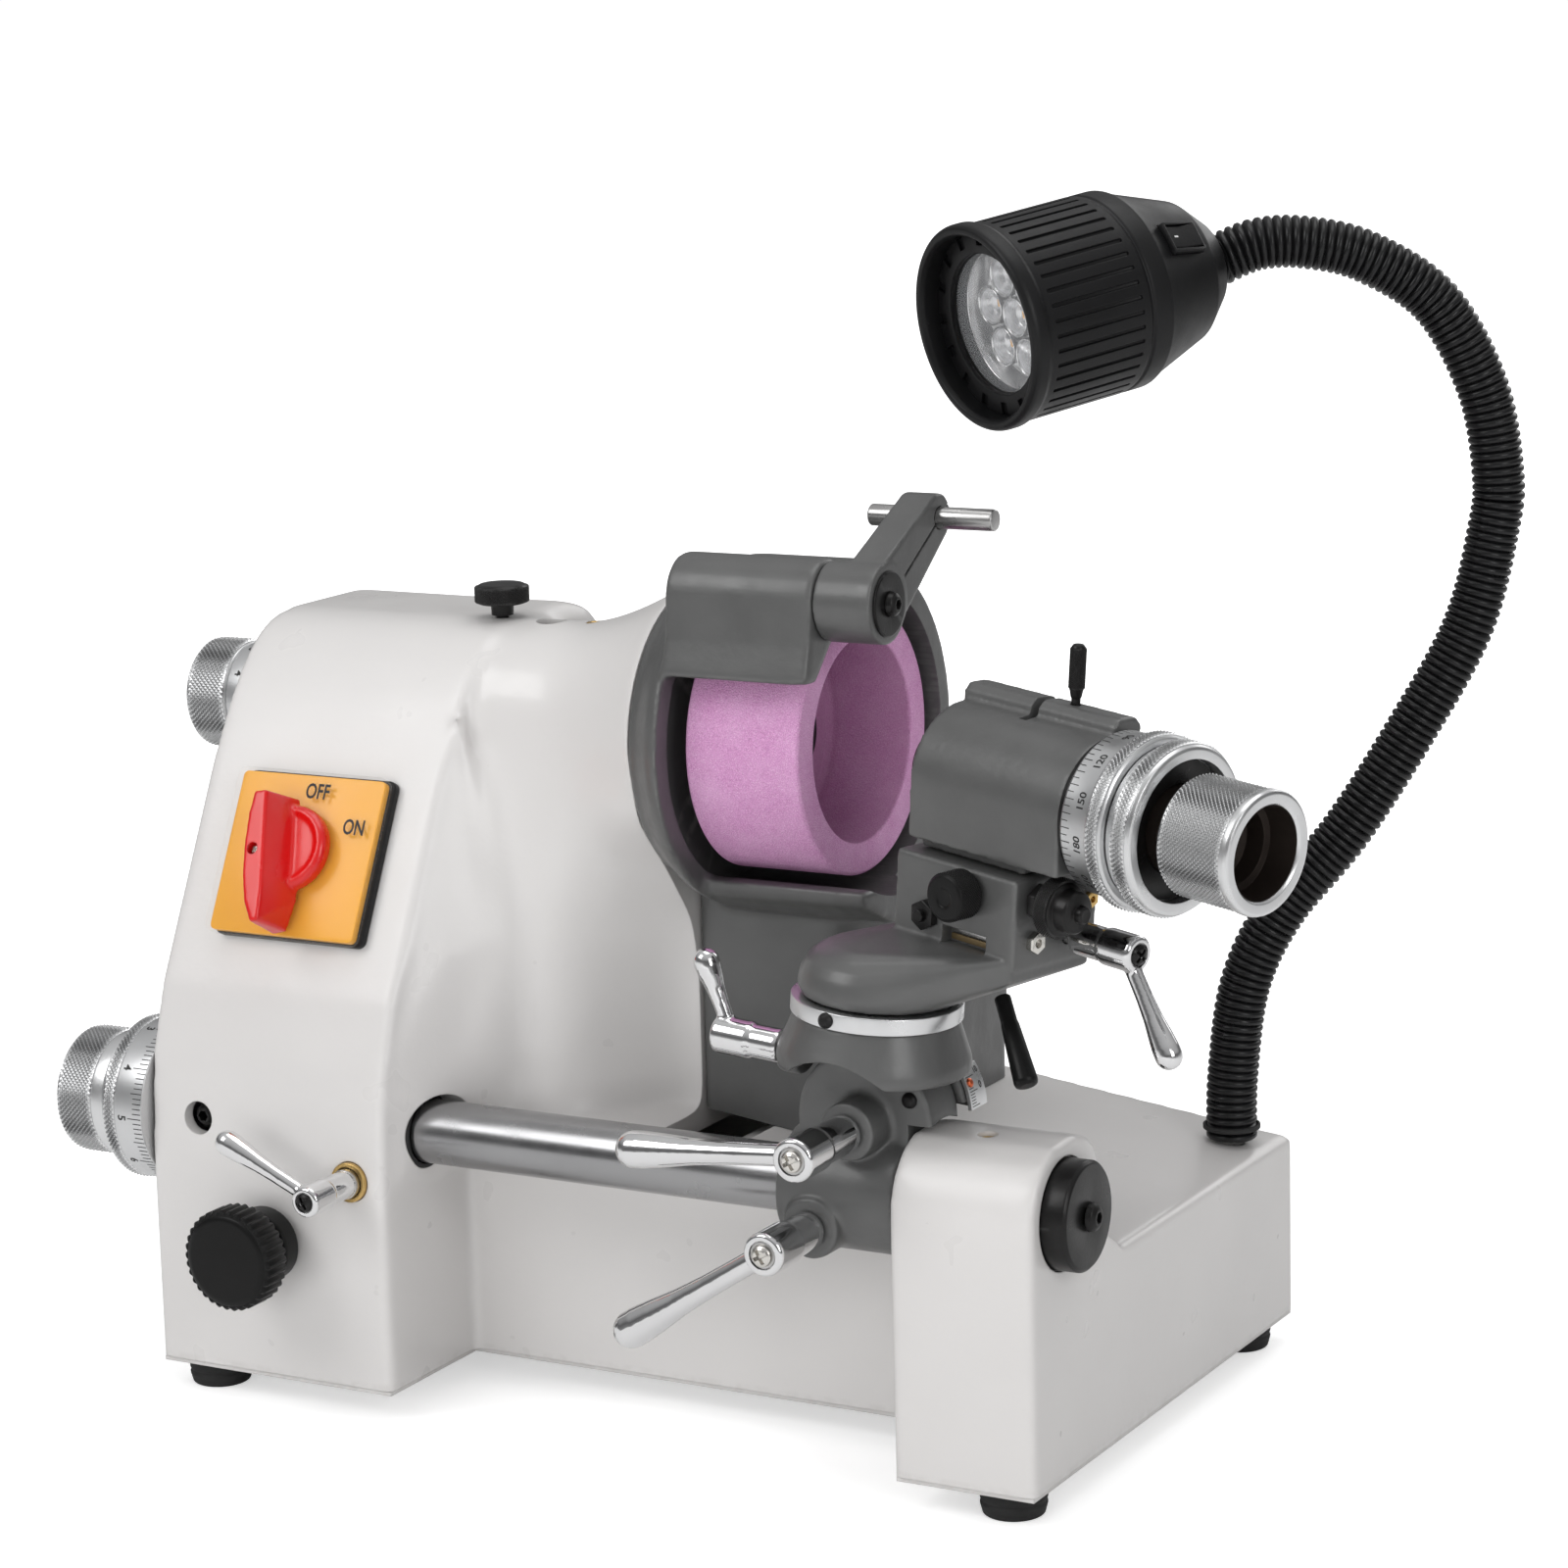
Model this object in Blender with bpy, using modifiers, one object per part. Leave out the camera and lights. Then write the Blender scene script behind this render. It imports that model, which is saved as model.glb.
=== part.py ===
"""Universal cutter and drill-bit grinder on a cast base: bench machine with a cup wheel,
a bar-mounted workhead and a gooseneck lamp.

Frame: metres, +Z up, origin at floor level under the middle of the whole machine. +X runs along
the wheel spindle to the open end of the wheel, -Y is the operator's side. Sizes below are in
millimetres, measured from the middle of the cast base, and are scaled by MM when a mesh is made;
the last lines move everything to the origin above.
"""
import math

import bmesh
import bpy
import numpy as np
from mathutils import Matrix, Vector

for old in list(bpy.data.objects):
    bpy.data.objects.remove(old, do_unlink=True)

MM = 0.001
GAP = 0.3  # clearance between neighbouring pieces
INSET = 0.01  # keeps joined faces from lying in one plane

# ---- driving dimensions (mm) ----
BASE_W, BASE_D = 370.0, 230.0
LEFT, RIGHT = -BASE_W / 2, BASE_W / 2
FRONT, BACK = -BASE_D / 2, BASE_D / 2
CENTRE_X, CENTRE_Y = 20.14, 0.06  # middle of the whole machine
CAST_Z = 12.0  # underside of the casting
WALL = 6.0
COLUMN_X = -79.5  # right-hand side of the column
RECESS_Y = -57.0  # front wall of the low part of the base
PILLAR_X = 130.0  # left-hand side of the front pillar
DECK_Z, DECK_SLOPE = 81.3, 0.128  # deck height at its right edge, rise per mm to the left
QUILL_R, BARREL_R = 27.0, 37.0
GUARD_R, FLANGE_R, GUARD_FACE = 66.0, 56.0, 70.5  # the face is the guard's open end, in x
SPINDLE = SPIN_Y, SPIN_Z = -6.6, 249.5  # wheel spindle
BAR = (-88.2, 106.6)  # y, z of the slide bar
BAR_R = 12.0
MOTOR = (25.0, 92.0)  # y, z
TILT = TILT_X, TILT_Z = 112.5, 133.0  # relief-angle axis, which runs along Y

# ---- places shared by a hole and the piece in it ----
LEVER_AT = (-94.3, 91.5)  # x, z of the bar lock lever
KNOB_AT = (-129.5, 65.3)  # x, z of the column knob
QUILL_LOCK_X = -87
NECK_BASE = (169.7, 91.4)  # x, y

# name: (base colour, roughness, metallic)
PAINTS = {
    "white_paint": ((0.80, 0.79, 0.77), 0.35, 0.0),
    "grey_paint": ((0.10, 0.105, 0.11), 0.40, 0.2),
    "black_metal": ((0.02, 0.02, 0.022), 0.40, 0.6),
    "black_rubber": ((0.015, 0.015, 0.015), 0.75, 0.0),
    "black_plastic": ((0.02, 0.02, 0.02), 0.50, 0.0),
    "chrome": ((0.80, 0.81, 0.82), 0.12, 1.0),
    "steel": ((0.60, 0.61, 0.62), 0.30, 1.0),
    "aluminium": ((0.75, 0.76, 0.77), 0.35, 1.0),
    "abrasive": ((0.72, 0.36, 0.62), 0.95, 0.0),
    "yellow_plastic": ((0.90, 0.48, 0.02), 0.45, 0.0),
    "red_plastic": ((0.70, 0.02, 0.02), 0.35, 0.0),
    "clear_lens": ((0.85, 0.87, 0.90), 0.10, 0.0),
}

parts = bpy.data.collections.new("bit_sharpener")
cutters = bpy.data.collections.new("cutters")
for collection in (parts, cutters):
    bpy.context.scene.collection.children.link(collection)


# ---- making and placing objects ----
def paint(name):
    found = bpy.data.materials.get(name)
    if found:
        return found
    colour, roughness, metallic = PAINTS[name]
    made = bpy.data.materials.new(name)
    made.use_nodes = True
    shader = made.node_tree.nodes["Principled BSDF"]
    shader.inputs["Base Color"].default_value = (*colour, 1)
    shader.inputs["Roughness"].default_value = roughness
    shader.inputs["Metallic"].default_value = metallic
    made.diffuse_color = (*colour, 1)
    return made


def keep(obj, material, where=None):
    """Links an object as a part, or as a hidden boolean helper when it has no material."""
    if material is None:
        cutters.objects.link(obj)
        obj.hide_render = True
        obj.display_type = "WIRE"
    else:
        parts.objects.link(obj)
        obj.data.materials.append(paint(material))
    if where is not None:
        obj.matrix_world = where
    return obj


def mesh_object(name, bm):
    mesh = bpy.data.meshes.new(name)
    bm.to_mesh(mesh)
    bm.free()
    return bpy.data.objects.new(name, mesh)


def frame_of(origin, z_axis, x_hint=(1, 0, 0)):
    """A placing matrix with its +Z along z_axis."""
    z = Vector(z_axis).normalized()
    x = Vector(x_hint)
    if abs(x.normalized().dot(z)) > 0.99:
        x = Vector((0, 1, 0))
    y = z.cross(x).normalized()
    x = y.cross(z).normalized()
    made = Matrix((x, y, z)).transposed().to_4x4()
    made.translation = Vector(origin) * MM
    return made


def along_x(y, z):
    return frame_of((0, y, z), (1, 0, 0))


def along_minus_y(x, z):
    return frame_of((x, 0, z), (0, -1, 0))


def upright(x, y):
    return frame_of((x, y, 0), (0, 0, 1))


def shift(x, y, z):
    return Matrix.Translation(Vector((x, y, z)) * MM)


def turn(degrees, axis):
    return Matrix.Rotation(math.radians(degrees), 4, axis)


SPIN_AXIS = along_x(*SPINDLE)
BAR_AXIS = along_x(*BAR)
MOTOR_AXIS = along_x(*MOTOR)
TILT_AXIS = along_minus_y(*TILT)


# ---- shapes; each is a boolean helper unless it is given a material ----
def lathe(name, profile, where, material=None, steps=24, ring=False):
    """A turned piece through (radius, height) points; a ring closes on itself."""
    bm = bmesh.new()
    verts = [bm.verts.new((radius * MM, 0, height * MM)) for radius, height in profile]
    for start, end in zip(verts, verts[1:]):
        bm.edges.new((start, end))
    if ring:
        bm.edges.new((verts[-1], verts[0]))
    obj = mesh_object(name, bm)
    screw = obj.modifiers.new("turn", "SCREW")
    screw.axis = "Z"
    screw.angle = math.tau
    screw.steps = screw.render_steps = steps
    screw.use_merge_vertices = True
    screw.merge_threshold = 1e-5
    screw.use_smooth_shade = True
    return keep(obj, material, where)


def rod(name, radius, low, high, where, material=None, steps=24, chamfer=0.0):
    if chamfer:
        rim = radius - chamfer
        side = [(rim, high), (radius, high - chamfer), (radius, low + chamfer), (rim, low)]
    else:
        side = [(radius, high), (radius, low)]
    return lathe(name, [(0, high), *side, (0, low)], where, material, steps)


def tube(name, outer, inner, low, high, where, material, steps=24):
    profile = [(outer, high), (outer, low), (inner, low), (inner, high)]
    return lathe(name, profile, where, material, steps, ring=True)


def box(name, low, high, where=None, material=None, bevel=0.0):
    bm = bmesh.new()
    bmesh.ops.create_cube(bm, size=1.0)
    size = [b - a for a, b in zip(low, high)]
    middle = [(a + b) / 2 for a, b in zip(low, high)]
    for vert in bm.verts:
        vert.co = Vector([(c * s + m) * MM for c, s, m in zip(vert.co, size, middle)])
    obj = mesh_object(name, bm)
    if bevel:
        mod = obj.modifiers.new("edges", "BEVEL")
        mod.width = bevel * MM
        mod.segments = 1
        mod.limit_method = "ANGLE"
    return keep(obj, material, where)


PLANES = {
    "YZ": Matrix(((0, 0, 1, 0), (1, 0, 0, 0), (0, 1, 0, 0), (0, 0, 0, 1))),
    "XZ": Matrix(((1, 0, 0, 0), (0, 0, -1, 0), (0, 1, 0, 0), (0, 0, 0, 1))),
    "XY": Matrix.Identity(4),
}


def prism(name, outline, plane, low, high, where=None, material=None):
    """A flat outline extruded across its plane from low to high, by way of a filled curve."""
    data = bpy.data.curves.new(name, "CURVE")
    data.dimensions = "2D"
    data.fill_mode = "BOTH"
    data.extrude = (high - low) / 2 * MM
    spline = data.splines.new("POLY")
    spline.points.add(len(outline) - 1)
    for point, (x, y) in zip(spline.points, outline):
        point.co = (x * MM, y * MM, 0, 1)
    spline.use_cyclic_u = True
    guide = bpy.data.objects.new(name + "_curve", data)
    cutters.objects.link(guide)
    bpy.context.view_layer.update()
    depsgraph = bpy.context.evaluated_depsgraph_get()
    mesh = bpy.data.meshes.new_from_object(guide.evaluated_get(depsgraph))
    bpy.data.objects.remove(guide, do_unlink=True)
    middle = (high + low) / 2 * MM
    if plane == "XZ":  # this plane's normal points to -Y
        middle = -middle
    mesh.transform(PLANES[plane] @ Matrix.Translation((0, 0, middle)))
    bm = bmesh.new()
    bm.from_mesh(mesh)
    bmesh.ops.remove_doubles(bm, verts=bm.verts, dist=1e-6)
    bmesh.ops.dissolve_limit(bm, angle_limit=0.001, verts=bm.verts, edges=bm.edges)
    bmesh.ops.recalc_face_normals(bm, faces=bm.faces)
    bm.to_mesh(mesh)
    bm.free()
    mesh.name = name
    return keep(bpy.data.objects.new(name, mesh), material, where)


def loft(name, sections):
    """A closed helper solid through sections with the same number of points each."""
    bm = bmesh.new()
    rings = [[bm.verts.new(Vector(p) * MM) for p in section] for section in sections]
    count = len(rings[0])
    for near, far in zip(rings, rings[1:]):
        for i in range(count):
            j = (i + 1) % count
            bm.faces.new((near[i], near[j], far[j], far[i]))
    bm.faces.new(list(reversed(rings[0])))
    bm.faces.new(rings[-1])
    bmesh.ops.recalc_face_normals(bm, faces=bm.faces)
    return keep(mesh_object(name, bm), None)


def hull(name, points, material):
    bm = bmesh.new()
    for point in points:
        bm.verts.new(Vector(point) * MM)
    made = bmesh.ops.convex_hull(bm, input=bm.verts)
    spare = [v for v in made["geom_interior"] if isinstance(v, bmesh.types.BMVert)]
    if spare:
        bmesh.ops.delete(bm, geom=spare, context="VERTS")
    bmesh.ops.dissolve_limit(bm, angle_limit=0.01, verts=bm.verts, edges=bm.edges)
    bmesh.ops.recalc_face_normals(bm, faces=bm.faces)
    return keep(mesh_object(name, bm), material)


def combine(obj, others, word, operation):
    for other in others:
        mod = obj.modifiers.new(f"{word} {other.name}", "BOOLEAN")
        mod.operation = operation
        mod.object = other


def cut(obj, *others):
    combine(obj, others, "cut", "DIFFERENCE")


def join(obj, *others):
    combine(obj, others, "join", "UNION")


def arc(x, y, radius, start, end, count):
    """Points on a circle about x, y, from start to end in degrees."""
    step = (end - start) / (count - 1)
    angles = [math.radians(start + i * step) for i in range(count)]
    return [(x + radius * math.cos(a), y + radius * math.sin(a)) for a in angles]


def clamp_lever(name, base, hub_dir, hub_len, hub_r, handle_to, ball_r, stud, stud_len):
    """A hub on a stud with a tapered handle; base is the hub's foot, handle_to the ball's centre."""
    hub_dir = Vector(hub_dir).normalized()
    base = Vector(base)
    start = base + hub_dir * (hub_len - hub_r * 0.95)
    along = Vector(handle_to) - start
    reach = along.length
    hub_profile = [
        (0, hub_len), (hub_r - 0.8, hub_len), (hub_r, hub_len - 0.8), (hub_r, 0),
        (stud, 0), (stud, -stud_len), (0, -stud_len),
    ]
    hub = lathe(name, hub_profile, frame_of(base, hub_dir), "chrome", 12)
    ball = [
        (ball_r * math.sin(math.radians(t)), reach + ball_r * math.cos(math.radians(t)))
        for t in (40, 80)
    ]
    profile = [(0, reach + ball_r), *ball, (ball_r * 0.55, reach * 0.42), (ball_r * 0.50, 0), (0, 0)]
    join(hub, lathe(name + "_handle", profile, frame_of(start, along), steps=10))


# ---- base casting ----
COLUMN_FRONT = [  # y, z, going up
    (-114.7, 12), (-114.5, 72), (-113.2, 108), (-110.6, 132), (-102.8, 156.5), (-64.8, 233.0),
    (-56.5, 247), (-46.5, 262), (-33.5, 277.5), (-22.5, 284.2), (-10.0, 286.4),
]
COLUMN_BACK = [  # y, z, going down
    (36, 286.4), (50, 282.5), (60, 273), (65, 259), (72, 205), (112, 152), (BACK, 146), (BACK, 12),
]
COLUMN_HOLLOW = [  # y, z
    (-108, 6), (-108, 108), (-105.5, 130), (-97, 154), (-62.5, 225), (-50, 246), (-36, 264),
    (-23, 276), (-10, 280), (34, 280), (46, 276), (54, 268), (58, 256), (65, 203), (104, 148),
    (108, 140), (108, 6),
]
PILLAR = [  # y, z
    (FRONT, CAST_Z), (FRONT, 105), (-113.9, 112.8), (-110.4, 120.2), (-104.5, 127), (-96, 131.2),
    (-80, 131.8), (-67, 128.6), (-60.5, 121.5), (-58.5, 112), (-56.5, 97), (-52, 89.5),
    (-44, 84.5), (-30, 70), (-30, CAST_Z),
]
# front of the web below the barrel, as y, z: at the column end and at the guard end
WEB_COLUMN_END = [(-57, 90), (-57, 130), (-56.8, 165), (-55.5, 185), (-51.5, 210), (-46.8, 232)]
WEB_GUARD_END = [(-15, 90), (-15, 130), (-15, 160), (-19, 179), (-37, 202), (-56, 222)]
BARREL_STATIONS = (-82, -50, -38, -26, -13, 0)  # x
FAIRING_STATIONS = [  # z, width
    (84, 0.6), (115, 23), (129, 29.5), (175, 29.5), (206, 20), (250, 2.5), (256, 0.6),
]


def deck(x, up=0.0):
    """Height of the deck at x; it slopes only to the right of x = 0."""
    return DECK_Z + DECK_SLOPE * (RIGHT - max(x, 0.0)) + up


def barrel_section(x):
    """Section of the spindle housing and the web below it; it flares to the guard's flange."""
    flare = min(max((x + 50.0) / 50.0, 0.0), 1.0)
    ease = flare * flare * (3 - 2 * flare)
    radius = BARREL_R + (FLANGE_R - BARREL_R) * flare**1.5
    front = [
        (ya + (yb - ya) * ease, za + (zb - za) * ease)
        for (ya, za), (yb, zb) in zip(WEB_COLUMN_END, WEB_GUARD_END)
    ]
    top = arc(SPIN_Y, SPIN_Z, radius, 180, 0, 9)
    back = [
        (SPIN_Y + radius + 3 * ease, 222), (56 + 8 * ease, 190),
        (74 + 18 * ease, 150), (76 + 18 * ease, 90),
    ]
    return [(x, y, z) for y, z in front + top + back]


def fairing_section(z, width):
    """Triangular web between the column's side and the wall behind the bar."""
    front_y, front_z = zip(*COLUMN_FRONT)
    ridge = np.interp(z, front_z, front_y) + 0.4
    root = COLUMN_X - 1.5
    edge_x, edge_y = COLUMN_X + width, RECESS_Y + 0.8
    middle = ((root + edge_x) / 2 + 0.5, (ridge + edge_y) / 2 + 2.5, z)
    return [
        (root, ridge, z), middle, (edge_x, edge_y, z), (edge_x, edge_y + 8, z),
        (root, RECESS_Y + 9, z),
    ]


def casting_solids():
    left = LEFT + 8
    block = [(left, CAST_Z), (RIGHT, CAST_Z), (RIGHT, deck(RIGHT)), (0, deck(0)), (left, deck(0))]
    return [
        prism("block", block, "XZ", RECESS_Y, BACK - INSET),
        loft("barrel", [barrel_section(x) for x in BARREL_STATIONS]),
        loft("fairing", [fairing_section(z, width) for z, width in FAIRING_STATIONS]),
        prism("pillar", PILLAR, "YZ", PILLAR_X, RIGHT - INSET),
    ]


def casting_hollows():
    inner = RIGHT - WALL
    block = [(-92, 6), (inner, 6), (inner, 74), (0, 97), (-92, 97)]
    return [
        prism("hollow_column", COLUMN_HOLLOW, "YZ", LEFT + 5.5, COLUMN_X - 5.5),
        prism("hollow_block", block, "XZ", RECESS_Y + WALL, BACK - 7),
        box("hollow_web", (-92, 0, 80), (-9, 66, 204)),
        box("hollow_pillar", (PILLAR_X + WALL, FRONT + WALL, 6), (inner, RECESS_Y + 20, 84)),
    ]


def casting_holes():
    return [
        rod("quill_bore", QUILL_R + GAP, -100, 2, SPIN_AXIS),
        rod("bar_bore", BAR_R + GAP, 128, 190, BAR_AXIS),
        rod("cap_seat", 20.2, RIGHT - 2.5, RIGHT + 3, BAR_AXIS, steps=32),
        rod("bar_window", 12.8, -90, -40, BAR_AXIS),
        rod("dial_bore_low", 8.0, LEFT - 3, LEFT + 9, BAR_AXIS, steps=12),
        rod("dial_bore_up", 7.0, LEFT - 3, LEFT + 9, SPIN_AXIS, steps=12),
        rod("lock_hole", 2.6, 270, 292, upright(QUILL_LOCK_X, SPIN_Y), steps=10),
        rod("oil_hole", 6.0, 274, 292, upright(-65, SPIN_Y), steps=14),
        rod("plug_hole", 3.4, 280, 300, upright(-46, SPIN_Y), steps=10),
        rod("screw_recess", 6.0, 104, 118, along_minus_y(-163, 108), steps=14),
        rod("bush_hole", 6.2, 100, 118, along_minus_y(*LEVER_AT), steps=14),
        rod("knob_hole", 5.0, 100, 118, along_minus_y(*KNOB_AT), steps=12),
        rod("neck_hole", 5.0, 60, 100, upright(*NECK_BASE), steps=12),
        rod("pillar_oiler", 3.2, 124, 134, upright(156, -88), steps=10),
        box("rear_opening", (LEFT + 16, BACK - 12, 26), (COLUMN_X - 14, BACK + 4, 132)),
    ]


def base_casting():
    outline = COLUMN_FRONT + COLUMN_BACK
    casting = prism("base_casting", outline, "YZ", LEFT, COLUMN_X, material="white_paint")
    join(casting, *casting_solids())
    cut(casting, *casting_hollows(), *casting_holes())


# ---- plates and feet ----
FOOT_R, FOOT_H = 12.0, 9.9
FOOT_INSET = 16  # foot axis from the base's edges
PLATE_T = 1.6
PLATE_TOP = CAST_Z - 0.1


def base_plates():
    left, right, front, back = LEFT + 1, RIGHT - 1, FRONT + 1, BACK - 1
    column, recess, pillar = COLUMN_X - 1, RECESS_Y + 1, PILLAR_X + 1
    outline = [
        (left, front), (column, front), (column, recess), (pillar, recess), (pillar, front),
        (right, front), (right, back), (left, back),
    ]
    bottom = PLATE_TOP - PLATE_T
    prism("bottom_plate", outline, "XY", bottom, PLATE_TOP, material="black_metal")
    low, high = (LEFT + 10, BACK + 0.3, 20), (COLUMN_X - 8, BACK + 1.8, 138)
    box("rear_cover", low, high, material="black_metal", bevel=0.4)


def feet():
    profile = [
        (0, FOOT_H + 0.2), (FOOT_R - 1, FOOT_H + 0.2), (FOOT_R, FOOT_H - 1), (FOOT_R - 1.5, 0), (0, 0),
    ]
    for row, y in (("front", FRONT + FOOT_INSET), ("rear", BACK - FOOT_INSET)):
        for side, x in (("left", LEFT + FOOT_INSET), ("right", RIGHT - FOOT_INSET)):
            lathe(f"foot_{row}_{side}", profile, upright(x, y), "black_rubber", 20)


# ---- wheel guard ----
BOSS = BOSS_Y, BOSS_Z = -45.0, 307.0  # dresser boss
GUARD_PROFILE = [  # radius, x
    (0, GUARD_FACE), (GUARD_R, GUARD_FACE), (GUARD_R, 20), (63, 12), (57, 4), (FLANGE_R, GAP), (0, GAP),
]
PEDESTAL = [  # x, y
    (GAP, -15), (48, -15), *arc(48.5, 7, 22, -80, 0, 5), (GUARD_FACE, 100), (66, 104), (GAP, 104),
]
GUARD_TAIL = [(48, 250), (59.2, 250), (66, 215), (104, 160), (104, 120), (40, 120)]  # y, z
APRON = [  # y, z
    (-60, 307), (-61.6, 293), (-65.2, 279.6), (-56, 279), (-44, 291), (-30, 300), (-16, 306),
    (-14, 314), (-36, 318),
]
SHELF = [(-38, 199.5), (-36, 194), (-14, 183), (8, 183), (8, 200)]  # y, z
FRONT_WINDOW = [  # y, z
    (-90, 279.2), (-56.4, 279.2), (-46, 288), (-20, 262), (-20, 199.6), (-90, 199.6),
]
FRONT_TRIM = [  # y, z
    (-90, 199.7), (-38.5, 199.7), (-36.5, 193.8), (-15, 181.5), (-15, 150), (-90, 150),
]


def wheel_guard():
    guard = lathe("wheel_guard", GUARD_PROFILE, SPIN_AXIS, "grey_paint", 32)
    join(
        guard,
        prism("pedestal", PEDESTAL, "XY", 90, 205),
        prism("tail", GUARD_TAIL, "YZ", GAP, GUARD_FACE),
        prism("shelf", SHELF, "YZ", 12, 83),
    )
    cut(
        guard,
        prism("front_trim", FRONT_TRIM, "YZ", 17, 100),
        prism("front_window", FRONT_WINDOW, "YZ", 17, 100),
    )
    # joined after the front is open, so that they hang into the opening
    join(guard, rod("boss", 15.0, 16, 76, along_x(*BOSS)), prism("apron", APRON, "YZ", 16.5, 76))
    deck_top = [(-4, 60), (90, 60), (90, deck(90, GAP)), (0, deck(0, GAP)), (-4, deck(0, GAP))]
    cut(
        guard,
        rod("wheel_room", 56.0, 12, 90, SPIN_AXIS, steps=32),
        rod("nose_hole", 27.8, -2, 14, SPIN_AXIS),
        box("guard_hollow", (8, -5, 88), (60, 92, 178)),
        prism("deck_cut", deck_top, "XZ", -60, 130),
    )


# ---- spindle, motor and belt ----
WHEEL_R, WHEEL_L, WHEEL_BORE = 50.0, 46.6, 10.0
WHEEL_X = 67.3  # open face of the wheel
WHEEL_BACK = WHEEL_X - WHEEL_L
WHEEL_PROFILE = [  # radius, x
    (WHEEL_R - 0.6, WHEEL_X), (WHEEL_R, WHEEL_X - 0.6), (WHEEL_R, WHEEL_BACK + 1),
    (WHEEL_R - 1, WHEEL_BACK), (WHEEL_BORE, WHEEL_BACK), (WHEEL_BORE, 32.5), (36.0, 32.5),
    (37.9, 36), (37.9, WHEEL_X),
]
SHAFT_PROFILE = [  # radius, x
    (0, 44), (6, 44), (6, 32.7), (9.6, 32.7), (9.6, 20.5), (11, 20.5), (11, 13), (8, 13),
    (8, -113.5), (0, -113.5),
]
NUT_PROFILE = [(15, 40), (17, 38), (17, 33), (6.3, 33), (6.3, 40)]  # radius, x
MOTOR_PULLEY_R, SPINDLE_PULLEY_R = 26.0, 14.0  # under the belt


def pulley(name, radius, rim, bore, stations, where):
    """A flanged pulley; stations are x of the right rim, the groove and the left rim."""
    rim_radii = [rim, rim, radius, radius, rim, rim]
    profile = [*zip(rim_radii, stations), (bore, stations[-1]), (bore, stations[0])]
    lathe(name, profile, where, "steel", 16, ring=True)


def spindle():
    tube("spindle_quill", QUILL_R, 17.5, -82, -2, SPIN_AXIS, "steel", 20)
    tube("quill_bearing_front", 17.2, 8.3, -16, -4, SPIN_AXIS, "steel", 14)
    tube("quill_bearing_rear", 17.2, 8.3, -80, -68, SPIN_AXIS, "steel", 14)
    lathe("spindle_shaft", SHAFT_PROFILE, SPIN_AXIS, "steel", 14)
    tube("wheel_flange", 21.0, 11.3, 13.2, 20.4, SPIN_AXIS, "black_metal", 20)
    lathe("grinding_wheel", WHEEL_PROFILE, SPIN_AXIS, "abrasive", 32, ring=True)
    lathe("wheel_nut", NUT_PROFILE, SPIN_AXIS, "black_metal", 16, ring=True)
    stations = (-88.0, -89.6, -90, -111, -111.4, -113)
    pulley("spindle_pulley", SPINDLE_PULLEY_R, SPINDLE_PULLEY_R + 4, 8.3, stations, SPIN_AXIS)


def motor():
    body = rod("motor_body", 50.0, -176, -116, MOTOR_AXIS, "black_metal", 20, chamfer=4)
    bore = rod("motor_bore", 7.0, -150, -100, MOTOR_AXIS, steps=14)
    join(body, box("motor_foot", (-170, -20, CAST_Z + 0.6), (-122, 70, 60)))
    cut(body, bore)
    rod("motor_shaft", 6.5, -149, -91, MOTOR_AXIS, "steel", 14)
    stations = (-92.3, -93.8, -94, -107, -107.2, -108.7)
    pulley("motor_pulley", MOTOR_PULLEY_R, MOTOR_PULLEY_R + 2, 6.8, stations, MOTOR_AXIS)


def belt_outline(grow):
    """Outer tangents round the two pulleys, as one closed outline in the YZ plane."""
    upper_r, lower_r = SPINDLE_PULLEY_R + grow, MOTOR_PULLEY_R + grow
    across, rise = MOTOR[0] - SPIN_Y, MOTOR[1] - SPIN_Z
    heading = math.degrees(math.atan2(rise, across))
    lean = math.degrees(math.acos((upper_r - lower_r) / math.hypot(across, rise)))
    upper = arc(*SPINDLE, upper_r, heading + lean, heading + 360 - lean, 13)
    return upper + arc(*MOTOR, lower_r, heading - lean, heading + lean, 13)


def drive_belt():
    belt = prism("drive_belt", belt_outline(2.6), "YZ", -106.2, -94.8, material="black_rubber")
    cut(belt, prism("belt_inside", belt_outline(GAP), "YZ", -110, -90))


# ---- feed dials and slide bar; profiles are radius, x ----
UPPER_KNOB = [
    (0, -118), (6, -118), (6, -204.2), (20.6, -204.2), (21.8, -205.4), (21.8, -222.2),
    (20.6, -223.4), (0, -223.4),
]
LOWER_KNOB = [
    (0, -158), (7, -158), (7, -208.6), (22, -208.6), (24.5, -209.8), (24.5, -230.3),
    (23.3, -231.6), (0, -231.6),
]
LOWER_SCALE = [
    (30.6, LEFT - GAP), (30.6, -194.6), (31.3, -195), (31.3, -200), (30.2, -201), (25.0, -205),
    (21.0, -205.6), (21.0, -208.2), (7.4, -208.2), (7.4, LEFT - GAP),
]
END_SCREW = [(0, 198.4), (3.4, 198.0), (5.4, 194.6), (3.0, 194.6), (3.0, 189), (0, 189)]


def feed_dials():
    lathe("upper_feed_knob", UPPER_KNOB, SPIN_AXIS, "aluminium", 20)
    tube("upper_feed_scale", 20.6, 6.4, -203.9, LEFT - GAP, SPIN_AXIS, "aluminium", 20)
    lathe("lower_feed_knob", LOWER_KNOB, BAR_AXIS, "aluminium", 20)
    lathe("lower_feed_scale", LOWER_SCALE, BAR_AXIS, "aluminium", ring=True)


def slide_bar():
    rod("slide_bar", BAR_R, -135, 164, BAR_AXIS, "chrome")
    cap = rod("bar_end_cap", 19.5, RIGHT - 2.2, 194.2, BAR_AXIS, "black_metal", chamfer=0.8)
    cut(cap, rod("cap_bore", 3.3, 188, 198, BAR_AXIS, steps=12))
    lathe("bar_end_screw", END_SCREW, BAR_AXIS, "black_metal", 14)


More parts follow.
